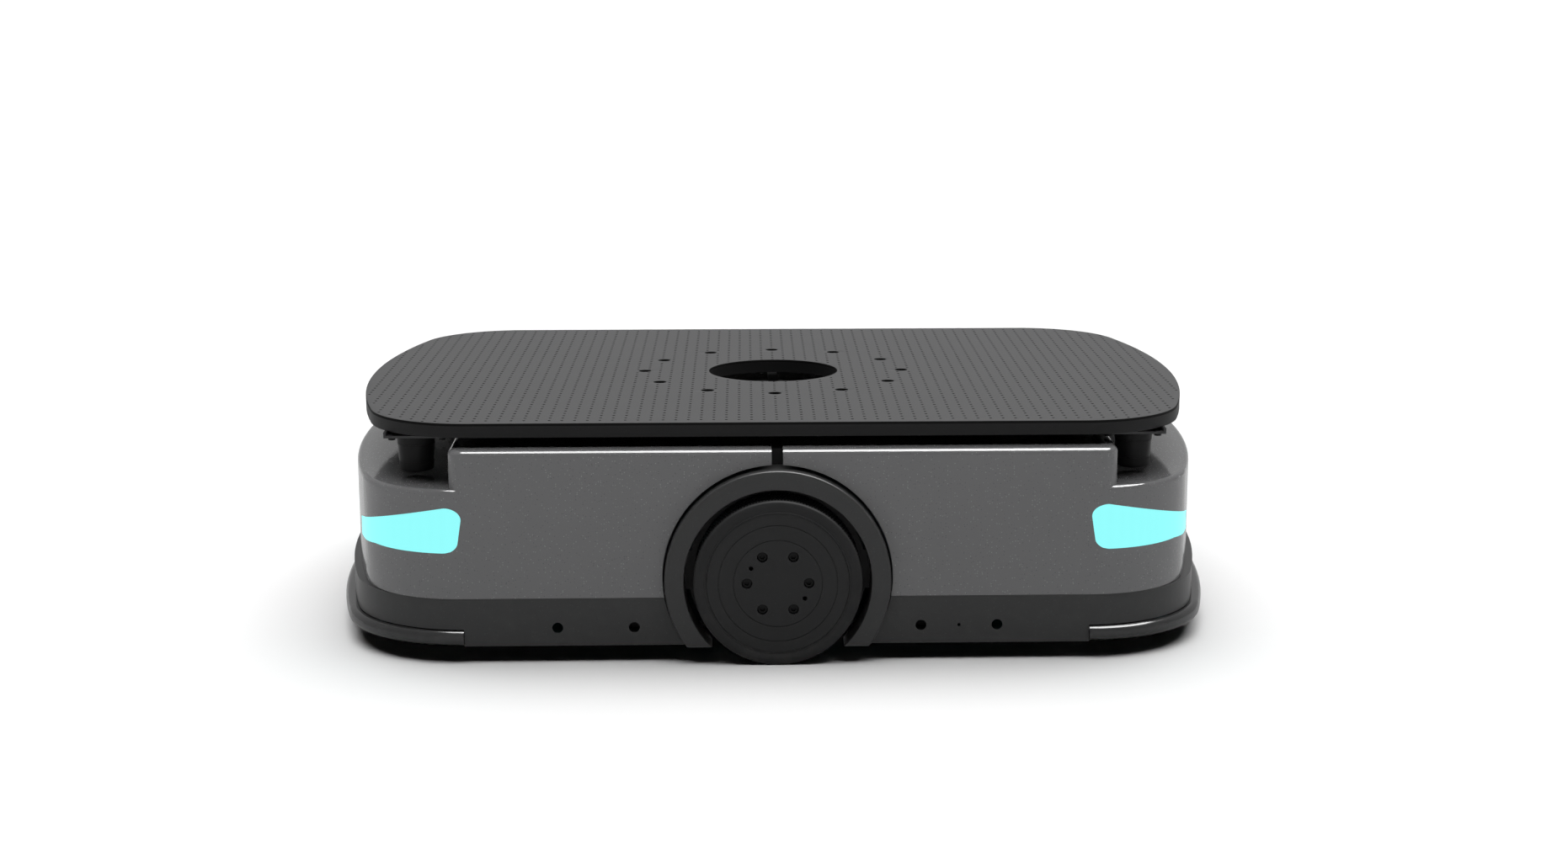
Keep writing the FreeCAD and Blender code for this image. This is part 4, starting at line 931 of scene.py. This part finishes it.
@dataclass(frozen=True)
class PlanOutline:
    """A plan outline with straight sides, round corners and bowed ends.

    Attributes:
        half_length: middle to the end.
        half_width: middle to the side.
        corner: corner radius.
        bow: radius of the ends.
    """

    half_length: float
    half_width: float
    corner: float
    bow: float

    @property
    def corner_centre(self) -> tuple[float, float]:
        """Centre of the corner's arc in the first quarter."""
        y = self.half_width - self.corner
        return self.half_length - self.bow + math.sqrt((self.bow - self.corner) ** 2 - y**2), y

    @property
    def turn(self) -> float:
        """Angle at which the bowed end meets the corner."""
        x, y = self.corner_centre
        return math.atan2(y, x - self.half_length + self.bow)

    def depth(self, x: float, y: float) -> float:
        """How far a place lies inside the outline, negative outside."""
        x, y = abs(x), abs(y)
        corner_x, corner_y = self.corner_centre
        inside = min(
            self.half_width - y, self.bow - math.hypot(x - self.half_length + self.bow, y)
        )
        if x > corner_x and y > corner_y:
            inside = min(inside, self.corner - math.hypot(x - corner_x, y - corner_y))
        return inside

    def draw(self, bm: bmesh.types.BMesh, height: float) -> list[bmesh.types.BMEdge]:
        """Draws the closed outline by spins and mirrors.

        Args:
            bm: the mesh that gets it.
            height: its height.

        Returns:
            Its edges.
        """
        ring = bmesh.new()
        end_x = self.half_length - self.bow
        corner_x, corner_y = self.corner_centre
        last = ring.verts.new((self.half_length, 0.0, height))
        for centre, angle, steps in (
            ((end_x, 0.0, height), self.turn, 12),
            ((corner_x, corner_y, height), math.pi / 2 - self.turn, 20),
        ):
            made = bmesh.ops.spin(
                ring, geom=[last], cent=centre, axis=(0, 0, 1), dvec=(0, 0, 0), angle=angle,
                steps=steps,
            )
            last = verts_of(made, "geom_last")[0]
        made = bmesh.ops.extrude_vert_indiv(ring, verts=[last])
        made["verts"][0].co.x = 0.0
        for axis in ("X", "Y"):
            bmesh.ops.mirror(
                ring, geom=ring.verts[:] + ring.edges[:], matrix=Matrix(), merge_dist=FLAT,
                axis=axis,
            )
        before = set(bm.edges)
        join(bm, ring)
        return [edge for edge in bm.edges if edge not in before]


def draw_circle(
    bm: bmesh.types.BMesh, radius: float, place: Sequence[float], sides: int
) -> list[bmesh.types.BMEdge]:
    """Draws a circle of edges.

    Args:
        bm: the mesh that gets it.
        radius: its radius.
        place: its centre.
        sides: its number of edges.

    Returns:
        Its edges.
    """
    before = set(bm.edges)
    bmesh.ops.create_circle(
        bm, cap_ends=False, radius=radius, segments=sides, matrix=Matrix.Translation(place)
    )
    return [edge for edge in bm.edges if edge not in before]


# -------------------------------------------------------------------- assemblies


class Assembly:
    """A sub-assembly that turns meshes into dressed pieces."""

    finishes: "Finishes"

    def piece(
        self,
        name: str,
        bm: bmesh.types.BMesh,
        finish: str,
        body: str,
        replaces: Sequence[str] = (),
        extra: Sequence[str] = (),
        bends: tuple[str, Sequence[float], Sequence[float]] | None = None,
    ) -> bpy.types.Object:
        """Adds a finished piece.

        Args:
            name: its name.
            bm: its mesh, in place.
            finish: its material slot.
            body: the body that it rides on.
            replaces: CAD nodes that it stands for.
            extra: further finishes, by material index from 1.
            bends: for a piece that stretches, the body at its other end, where it leaves its own
                body and where it meets the other; these are not used, and a piece given them is
                baked in place and rides on no body.

        Returns:
            The piece.
        """
        soften(bm)
        made = add_object(name, bm)
        for slot in (finish, *extra):
            made.data.materials.append(self.finishes[slot])
        if bends:
            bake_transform(made)
        else:
            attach(made, body)
        self.finishes.slot_of(finish)
        if replaces:
            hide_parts(*replaces)
        LOG.info("piece %s: %d faces, rides on %s", name, len(made.data.polygons), body)
        return made


@dataclass
class Deck(Assembly):
    """The load deck: its perforated top sheet.

    Attributes:
        finishes: the robot's finishes.
        outline: plan outline of the deck.
        sheet: thickness of the top sheet.
        pitch: spacing of the perforations.
        hole: their radius.
        hole_depth: how deep they show.
        bore: radius of the centre hole.
        bolt_circle: radius of the bolt circle.
        bolt_hole: radius of its holes.
        bolts: their number.
        edge_round: rounding of the sheet's edge.
        hole_arc: profile that makes a corner's bevel a round hole.
        rim_clear: least distance from a hole to a rim, in hole radii.
        cut_clear: how near a rim the regular pattern runs, in hole radii.
    """

    finishes: "Finishes"
    outline: PlanOutline = PlanOutline(0.528, 0.363, 0.13, 1.02)
    sheet: float = 0.003
    pitch: float = 0.015
    hole: float = 0.0019
    hole_depth: float = 0.0026
    bore: float = 0.085
    bolt_circle: float = 0.1706
    bolt_hole: float = 0.008
    bolts: int = 12
    edge_round: float = 0.0006
    hole_arc: float = 0.0858
    rim_clear: float = 2.2
    cut_clear: float = 0.7

    def build(self) -> None:
        """Builds the sheet and puts it on the deck plate."""
        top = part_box("deck_top_sheet")[1][2]
        bm = self._perforated()
        rims = self._close(bm)
        carry(bm, (0, 0, top))
        LOG.info("deck sheet has %d rim edges", rims)
        self.piece(
            "deck_top_sheet_perforated", bm, "deck_sheet", "chassis", ["deck_top_sheet"],
            ["deck_edge_and_painted_hole_shade"],
        )

    def _bolt_places(self) -> list[Vector]:
        """Centres of the bolt circle's holes."""
        step = 2 * math.pi / self.bolts
        return [
            Vector((math.cos(step * index), math.sin(step * index))) * self.bolt_circle
            for index in range(self.bolts)
        ]

    def _margin(self, x: float, y: float) -> float:
        """Distance from a place to the nearest rim of the sheet, negative off it."""
        place = Vector((x, y))
        holes = [place.length - self.bore]
        holes += [(place - bolt).length - self.bolt_hole for bolt in self._bolt_places()]
        return min(self.outline.depth(x, y), *holes)

    def _perforated(self) -> bmesh.types.BMesh:
        """The flat top with its grid of small round holes, still open.

        Returns:
            The faces at height 0, with the holes as faces of material 1, whose near-black finish
            paints shade into them.
        """
        bm = bmesh.new()
        columns = 2 * math.ceil(self.outline.half_length / self.pitch)
        rows = 2 * math.ceil(self.outline.half_width / self.pitch)
        stretch = Matrix.Diagonal((columns * self.pitch, rows * self.pitch, 1.0, 1.0))
        bmesh.ops.create_grid(bm, x_segments=columns, y_segments=rows, size=0.5, matrix=stretch)
        inner = [vert for vert in bm.verts if not vert.is_boundary]
        made = bmesh.ops.bevel(
            bm, geom=inner, offset=self.hole, segments=2, profile=self.hole_arc,
            affect="VERTICES", material=-1,
        )
        rounded = set(made["faces"])
        middles = [v for v in made["verts"] if all(face in rounded for face in v.link_faces)]
        bmesh.ops.dissolve_verts(bm, verts=middles)
        clear = self.hole * self.rim_clear
        near = self.hole * self.cut_clear
        drop = []
        for face in bm.faces:
            if face.edges[0].calc_length() < self.hole and len(face.verts) == 8:
                centre = face.calc_center_median()
                # painted shade: each hole takes the near-black finish
                face.material_index = 1
                if self._margin(centre.x, centre.y) < clear:
                    drop.append(face)
            elif min(self._margin(*vert.co.xy) for vert in face.verts) < near:
                drop.append(face)
        bmesh.ops.delete(bm, geom=drop, context="FACES")
        ragged = [edge for edge in bm.edges if edge.is_boundary]
        rims = self.outline.draw(bm, 0.0) + draw_circle(bm, self.bore, (0, 0, 0), 72)
        for bolt in self._bolt_places():
            rims += draw_circle(bm, self.bolt_hole, (*bolt, 0.0), 20)
        bmesh.ops.triangle_fill(bm, use_beauty=True, use_dissolve=False, edges=ragged + rims)
        bmesh.ops.recalc_face_normals(bm, faces=bm.faces)
        if sum(face.normal.z for face in bm.faces) < 0:
            bmesh.ops.reverse_faces(bm, faces=bm.faces)
        return bm

    def _close(self, bm: bmesh.types.BMesh) -> int:
        """Sinks the holes and gives the sheet its edges and underside.

        Args:
            bm: the open top.

        Returns:
            The number of edges round its rims.
        """
        rims = [edge for edge in bm.edges if edge.is_boundary]
        made = bmesh.ops.extrude_edge_only(bm, edges=rims)
        lower = verts_of(made)
        bmesh.ops.translate(bm, vec=(0, 0, -self.sheet), verts=lower)
        for face in faces_of(made):
            face.material_index = 1
        under = [edge for edge in bm.edges if edge.is_boundary]
        bmesh.ops.triangle_fill(bm, use_beauty=True, use_dissolve=False, edges=under)
        bmesh.ops.bevel(
            bm, geom=rims, offset=self.edge_round, segments=2, profile=0.5, affect="EDGES",
            material=1,
        )
        # the pits' walls and floors keep the near-black finish: painted shade in the holes
        pits = [face for face in bm.faces if face.material_index == 1 and len(face.verts) == 8]
        bmesh.ops.inset_individual(
            bm, faces=pits, thickness=self.hole * 0.04, depth=-self.hole_depth
        )
        bmesh.ops.recalc_face_normals(bm, faces=bm.faces)
        return len(rims)


@dataclass
class DriveWheel(Assembly):
    """One drive wheel: tread and screws; the rim and hub are CAD nodes.

    Attributes:
        finishes: the robot's finishes.
        side: left or right.
        radius: axle to tread.
        inner: radius of the tyre's seat.
        width: tread width.
        edge: rounding of the tread's edges.
        steps: facets round the tread.
        groove: depth of the tread's grooves.
        bolt_circle: radius of the bolt circle.
        screw_head: radius of a screw head.
        screw_height: height of a screw head.
        screw_recess: screw heads behind the rim's face.
        socket: corner radius of their sockets.
        rim_set_back: rim's face behind the tyre's.
        screws: their number.
        seat_line: start, bottom and end of the fine line beside the tyre's seat.
        seat_depth: its depth.
        rows: rows of blocks across the tread.
    """

    finishes: "Finishes"
    side: str
    radius: float = 0.1
    inner: float = 0.0848
    width: float = 0.05
    edge: float = 0.003
    steps: int = 336
    groove: float = 0.0011
    bolt_circle: float = 0.0367
    screw_head: float = 0.0058
    screw_height: float = 0.0076
    screw_recess: float = 0.0028
    socket: float = 0.0034
    rim_set_back: float = 0.0008
    screws: int = 6
    seat_line: tuple[float, float, float] = (0.0012, 0.0018, 0.0026)
    seat_depth: float = 0.0004
    rows: int = 5

    def __post_init__(self) -> None:
        """Reads the wheel's place from the CAD frame."""
        low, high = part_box(f"wheel_tyre_{self.side}")
        self.sign = 1.0 if self.side == "left" else -1.0
        self.face = max(abs(low[1]), abs(high[1]))
        self.axle = (low[2] + high[2]) / 2
        self.turn = Matrix.Rotation(-self.sign * math.pi / 2, 4, "X")
        self.body = f"wheel_{self.side}"

    def build(self) -> None:
        """Builds the tread and the screws."""
        bm = self._tread()
        carry(bm, (0.0, self.face * self.sign, self.axle), self.turn)
        name = f"wheel_tyre_{self.side}"
        self.piece(name + "_grooved", bm, "wheel_tread", self.body, [name])
        bm = bmesh.new()
        for index in range(self.screws):
            angle = 2 * math.pi / self.screws * index
            screw = socket_screw(
                self.screw_head, self.screw_height, self.socket, self.screw_height * 0.5
            )
            depth = self.rim_set_back + self.screw_recess
            place = Vector((math.cos(angle), math.sin(angle), 0.0)) * self.bolt_circle
            carry(screw, place - Vector((0, 0, depth)))
            join(bm, screw)
        carry(bm, (0.0, self.face * self.sign, self.axle), self.turn)
        name = f"wheel_screws_{self.side}"
        self.piece(name + "_socketed", bm, "screw_steel", self.body, [name])

    def _tread(self) -> bmesh.types.BMesh:
        """The tyre, its outer face at height 0, with rows of small blocks.

        Returns:
            The tyre.
        """
        start, bottom, end = (self.inner + offset for offset in self.seat_line)
        rim = quarter(self.radius, 0.0, self.edge, 3)
        band = self.width - 2 * self.edge
        steps = [-self.edge - band * row / self.rows for row in range(1, self.rows)]
        profile = [(self.inner, 0.0), (start, 0.0), (bottom, -self.seat_depth), (end, 0.0)]
        profile += rim + [(self.radius, height) for height in steps]
        profile += [(out, -self.width - height) for out, height in reversed(rim)]
        profile.append((self.inner, -self.width))
        bm = lathe(profile, self.steps)
        blocks = []
        for face in bm.faces:
            down = -face.calc_center_median().z - self.edge
            if reach(face) < self.radius * 0.9985 or not 0.0 < down < band:
                continue
            if (sector(face, self.steps) + int(down / band * self.rows)) % 2:
                blocks.append(face)
        bmesh.ops.inset_individual(
            bm, faces=blocks, thickness=self.groove * 0.12, depth=-self.groove
        )
        return bm


@dataclass
class SuspensionSprings(Assembly):
    """The two coil springs over one drive's slide blocks.

    Attributes:
        finishes: the robot's finishes.
        side: left or right.
        wire: radius of the wire.
        open_turns: turns between the closed ends.
        turn_steps: steps of one turn.
        wire_sides: facets round the wire.
    """

    finishes: "Finishes"
    side: str
    wire: float = 0.0016
    open_turns: int = 5
    turn_steps: int = 36
    wire_sides: int = 12

    def build(self) -> None:
        """Builds both coils, which stretch between the frame and the carrier."""
        name = f"suspension_springs_{self.side}"
        low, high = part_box(name)
        coil = (high[1] - low[1]) / 2
        bm = bmesh.new()
        for x in (low[0] + coil, high[0] - coil):
            spring = self._coil(coil - self.wire, high[2] - low[2])
            carry(spring, (x, (low[1] + high[1]) / 2, low[2]))
            join(bm, spring)
        top, foot = ((0.0, low[1], height) for height in (high[2], low[2]))
        self.piece(
            name + "_coiled", bm, "spring_steel", "chassis", [name],
            bends=(f"drive_{self.side}", top, foot),
        )

    def _coil(self, radius: float, height: float) -> bmesh.types.BMesh:
        """One coil with a closed turn at each end, its foot at height 0.

        Args:
            radius: axis to the middle of the wire.
            height: its whole height.

        Returns:
            The coil.
        """
        bm = bmesh.new()
        place = Matrix.Translation((radius, 0.0, self.wire))
        bmesh.ops.create_circle(
            bm, cap_ends=False, radius=self.wire, segments=self.wire_sides,
            matrix=place @ Matrix.Rotation(math.pi / 2, 4, "X"),
        )
        last = bm.verts[:] + bm.edges[:]
        closed = self.wire * 2.0
        middle = height - 2.0 * self.wire - 2.0 * closed
        for turns, rise in ((1, closed), (self.open_turns, middle), (1, closed)):
            steps = turns * self.turn_steps
            made = bmesh.ops.spin(
                bm, geom=last, cent=(0, 0, 0), axis=(0, 0, 1), dvec=(0, 0, rise / steps),
                angle=2 * math.pi * turns, steps=steps,
            )
            last = made["geom_last"]
        ends = [edge for edge in bm.edges if edge.is_boundary]
        bmesh.ops.holes_fill(bm, edges=ends, sides=self.wire_sides)
        bmesh.ops.recalc_face_normals(bm, faces=bm.faces)
        return bm


@dataclass
class CornerScanner(Assembly):
    """One corner scanner: a tapered housing with a ring window.

    Attributes:
        finishes: the robot's finishes.
        corner: which corner.
        top_radius: radius at the top.
        low_radius: radius at the bottom.
        rim_round: rounding of the lower rim.
        window_high: top of the window below the housing's top.
        window_low: bottom of the window below the housing's top.
        seam: width and depth of the seams beside the window.
        top_edge: chamfer round the top.
        dish: radius of the shallow dish underneath.
        dish_draft: how far its wall leans in.
        dish_depth: its depth.
    """

    finishes: "Finishes"
    corner: str
    top_radius: float = 0.0232
    low_radius: float = 0.0205
    rim_round: float = 0.004
    window_high: float = 0.012
    window_low: float = 0.033
    seam: float = 0.0004
    top_edge: float = 0.0008
    dish: float = 0.012
    dish_draft: float = 0.0005
    dish_depth: float = 0.0006

    def build(self) -> None:
        """Builds the housing in place of its CAD node."""
        name = f"laser_scanner_{self.corner}"
        low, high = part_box(name)
        height = high[2] - low[2]

        def wall(drop: float) -> float:
            """Radius of the tapered wall some way below the top."""
            share = drop / (height - self.rim_round)
            return self.top_radius + (self.low_radius - self.top_radius) * share

        profile = [(0.0, 0.0), (self.top_radius - self.top_edge, 0.0)]
        profile.append((self.top_radius, -self.top_edge))
        for drop in (self.window_high, self.window_low):
            for offset, depth in ((0.0, 0.0), (0.3, 1.0), (1.0, 1.0), (1.3, 0.0)):
                down = drop + offset * self.seam
                profile.append((wall(down) - depth * self.seam, -down))
        rim = quarter(self.low_radius, height, self.rim_round, 6)
        profile += [(out, -drop) for out, drop in reversed(rim)]
        dish = self.dish_depth - height
        profile += [(self.dish, -height), (self.dish - self.dish_draft, dish), (0.0, dish)]
        bm = lathe(profile, 64)
        for face in bm.faces:
            drop = -face.calc_center_median().z
            if self.window_high + self.seam < drop < self.window_low:
                face.material_index = 1
        carry(bm, ((low[0] + high[0]) / 2, (low[1] + high[1]) / 2, high[2]))
        self.piece(
            name + "_ringed", bm, "scanner_housing", "chassis", [name], ["scanner_window"]
        )


@dataclass
class ScannerMounts(Assembly):
    """The bent brackets that hold the scanners and their screws.

    Attributes:
        finishes: the robot's finishes.
        edge: rounding of the sheet's edges.
        head: radius of a screw head.
        height: height of a screw head.
        socket: corner radius of its socket.
        reach: scanner bracket's middle to a screw.
        inset: bracket's outer corner to its middle, along and across the robot.
        socket_depth: depth of the sockets.
    """

    finishes: "Finishes"
    edge: float = 0.0004
    head: float = 0.0045
    height: float = 0.003
    socket: float = 0.0023
    reach: float = 0.03
    inset: tuple[float, float] = (0.039, 0.037)
    socket_depth: float = 0.0016

    def build(self) -> None:
        """Builds brackets and screws in place of their CAD nodes."""
        bm = merged_copy("scanner_brackets")
        round_edges(bm, self.edge)
        self.piece("scanner_brackets_bent", bm, "bracket_steel", "chassis", ["scanner_brackets"])
        low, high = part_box("scanner_brackets")
        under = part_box("scanner_screws")[0][2]
        signs = (-1, 1)
        bm = bmesh.new()
        for x_sign, y_sign, across, along in product(signs, signs, signs, signs):
            x = (high[0] if x_sign > 0 else low[0]) - self.inset[0] * x_sign
            y = (high[1] - self.inset[1]) * y_sign
            screw = socket_screw(self.head, self.height, self.socket, self.socket_depth, 20)
            carry(
                screw, (x + across * self.reach, y + along * self.reach, under),
                Matrix.Rotation(math.pi, 4, "X"),
            )
            join(bm, screw)
        self.piece("scanner_screws_socketed", bm, "screw_steel", "chassis", ["scanner_screws"])


@dataclass
class CasterWheel(Assembly):
    """One caster's roller: hub, web and tread.

    Attributes:
        finishes: the robot's finishes.
        corner: which corner.
        bore: radius of its bore.
        hub: radius of its hub.
        seat: radius under the tread.
        web: half thickness of the web.
        edge: rounding of the tread's edges.
        chamfer: chamfer of the hub and fillet of the web.
        rim: width of the seat's rim beside the web.
        seat_line: step between seat and tread, across and in.
    """

    finishes: "Finishes"
    corner: str
    bore: float = 0.0054
    hub: float = 0.012
    seat: float = 0.0265
    web: float = 0.007
    edge: float = 0.003
    chamfer: float = 0.001
    rim: float = 0.002
    seat_line: tuple[float, float] = (0.0004, 0.0012)

    def build(self) -> None:
        """Builds the roller in place of its CAD node."""
        name = f"caster_wheel_{self.corner}"
        low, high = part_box(name)
        radius, half = (high[2] - low[2]) / 2, (high[1] - low[1]) / 2
        hub, web, seat, chamfer = self.hub, self.web, self.seat, self.chamfer
        across, inward = self.seat_line
        rim = seat - self.rim
        side = [(self.bore, half), (hub - chamfer, half), (hub, half - chamfer)]
        side += [(hub, web + chamfer), (hub + chamfer, web), (rim - chamfer, web)]
        side += [(rim, half - inward), (seat, half - inward), (seat + across, half)]
        side += quarter(radius, half, self.edge, 3)
        profile = side + [(radius, 0.0)] + [(out, -height) for out, height in reversed(side)]
        bm = lathe(profile, 64)
        for face in bm.faces:
            if reach(face) < seat:
                face.material_index = 1
        middle = [(a + b) / 2 for a, b in zip(low, high)]
        carry(bm, middle, Matrix.Rotation(math.pi / 2, 4, "X"))
        self.piece(
            name + "_turned", bm, "caster_tread", f"roller_{self.corner}", [name], ["caster_hub"]
        )


@dataclass
class RearPanel(Assembly):
    """The control panel's two buttons.

    Attributes:
        finishes: the robot's finishes.
        stop_stem: radius of the stop button's stem.
        stop_head: thickness of its head.
        ribs: grip ribs round its head.
        power_radius: radius of the power button.
        STOP_TOP: radius and height of the corners of the stop button's dished top.
    """

    finishes: "Finishes"
    stop_stem: float = 0.006
    stop_head: float = 0.008
    ribs: int = 28
    power_radius: float = 0.0097
    STOP_TOP: ClassVar = ((0.0, -0.0012), (0.009, -0.0009), (0.0125, 0.0), (0.0155, -0.0006))

    def build(self) -> None:
        """Builds both buttons."""
        self._stop_button()
        self._power_button()

    def _stop_button(self) -> None:
        """Mushroom head with a dished top and a ribbed rim, on its stem."""
        low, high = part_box("stop_button")
        radius, length = (high[2] - low[2]) / 2, high[0] - low[0]
        head, stem = self.stop_head, self.stop_stem
        profile = [*self.STOP_TOP, (radius - 0.0013, -0.0022), (radius, -0.0042)]
        profile += [(radius, -head + 0.001), (radius - 0.001, -head), (stem, -head)]
        profile += [(stem, -length), (0.0, -length)]
        steps = self.ribs * 4
        bm = lathe(profile, steps)
        grooves = []
        for face in bm.faces:
            rim = reach(face) > radius * 0.985 and face.calc_center_median().z < -0.0042
            if rim and sector(face, steps) % 4 == 0:
                grooves.append(face)
        bmesh.ops.inset_region(bm, faces=grooves, thickness=0.0001, depth=-0.0005)
        self._outward(bm, low, high)
        self.piece("stop_button_ribbed", bm, "stop_red", "stop_head", ["stop_button"])

    def _power_button(self) -> None:
        """Flat cap with a raised ring."""
        low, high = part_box("power_button")
        length, radius = high[0] - low[0], self.power_radius
        profile = [(0.0, -0.0009), (radius * 0.62, -0.0009), (radius * 0.68, -0.0002)]
        profile += [(radius * 0.78, 0.0), (radius * 0.92, -0.0002), (radius, -0.001)]
        profile += [(radius, -length), (0.0, -length)]
        bm = lathe(profile, 64)
        for face in bm.faces:
            if reach(face) > radius * 0.66:
                face.material_index = 1
        self._outward(bm, low, high)
        self.piece(
            "power_button_ringed", bm, "power_cap", "power_cap", ["power_button"],
            ["bright_steel"],
        )

    @staticmethod
    def _outward(
        bm: bmesh.types.BMesh, low: Sequence[float], high: Sequence[float]
    ) -> None:
        """Turns a part built upwards to face the rear, at its CAD node's place.

        Args:
            bm: the mesh, its face at height 0.
            low: the node's low corner.
            high: the node's high corner.
        """
        place = (low[0], (low[1] + high[1]) / 2, (low[2] + high[2]) / 2)
        carry(bm, place, Matrix.Rotation(-math.pi / 2, 4, "Y"))


def main() -> None:
    """Builds the robot's visual pieces and its studio."""
    logging.basicConfig(level=logging.INFO)
    finishes = Finishes()
    Studio().build()
    finishes.dress_nodes()
    Deck(finishes).build()
    for side in ("left", "right"):
        DriveWheel(finishes, side).build()
        SuspensionSprings(finishes, side).build()
    for corner in ("front_left", "front_right", "rear_left", "rear_right"):
        CornerScanner(finishes, corner).build()
        CasterWheel(finishes, corner).build()
    ScannerMounts(finishes).build()
    RearPanel(finishes).build()


if __name__ == "__main__":
    main()
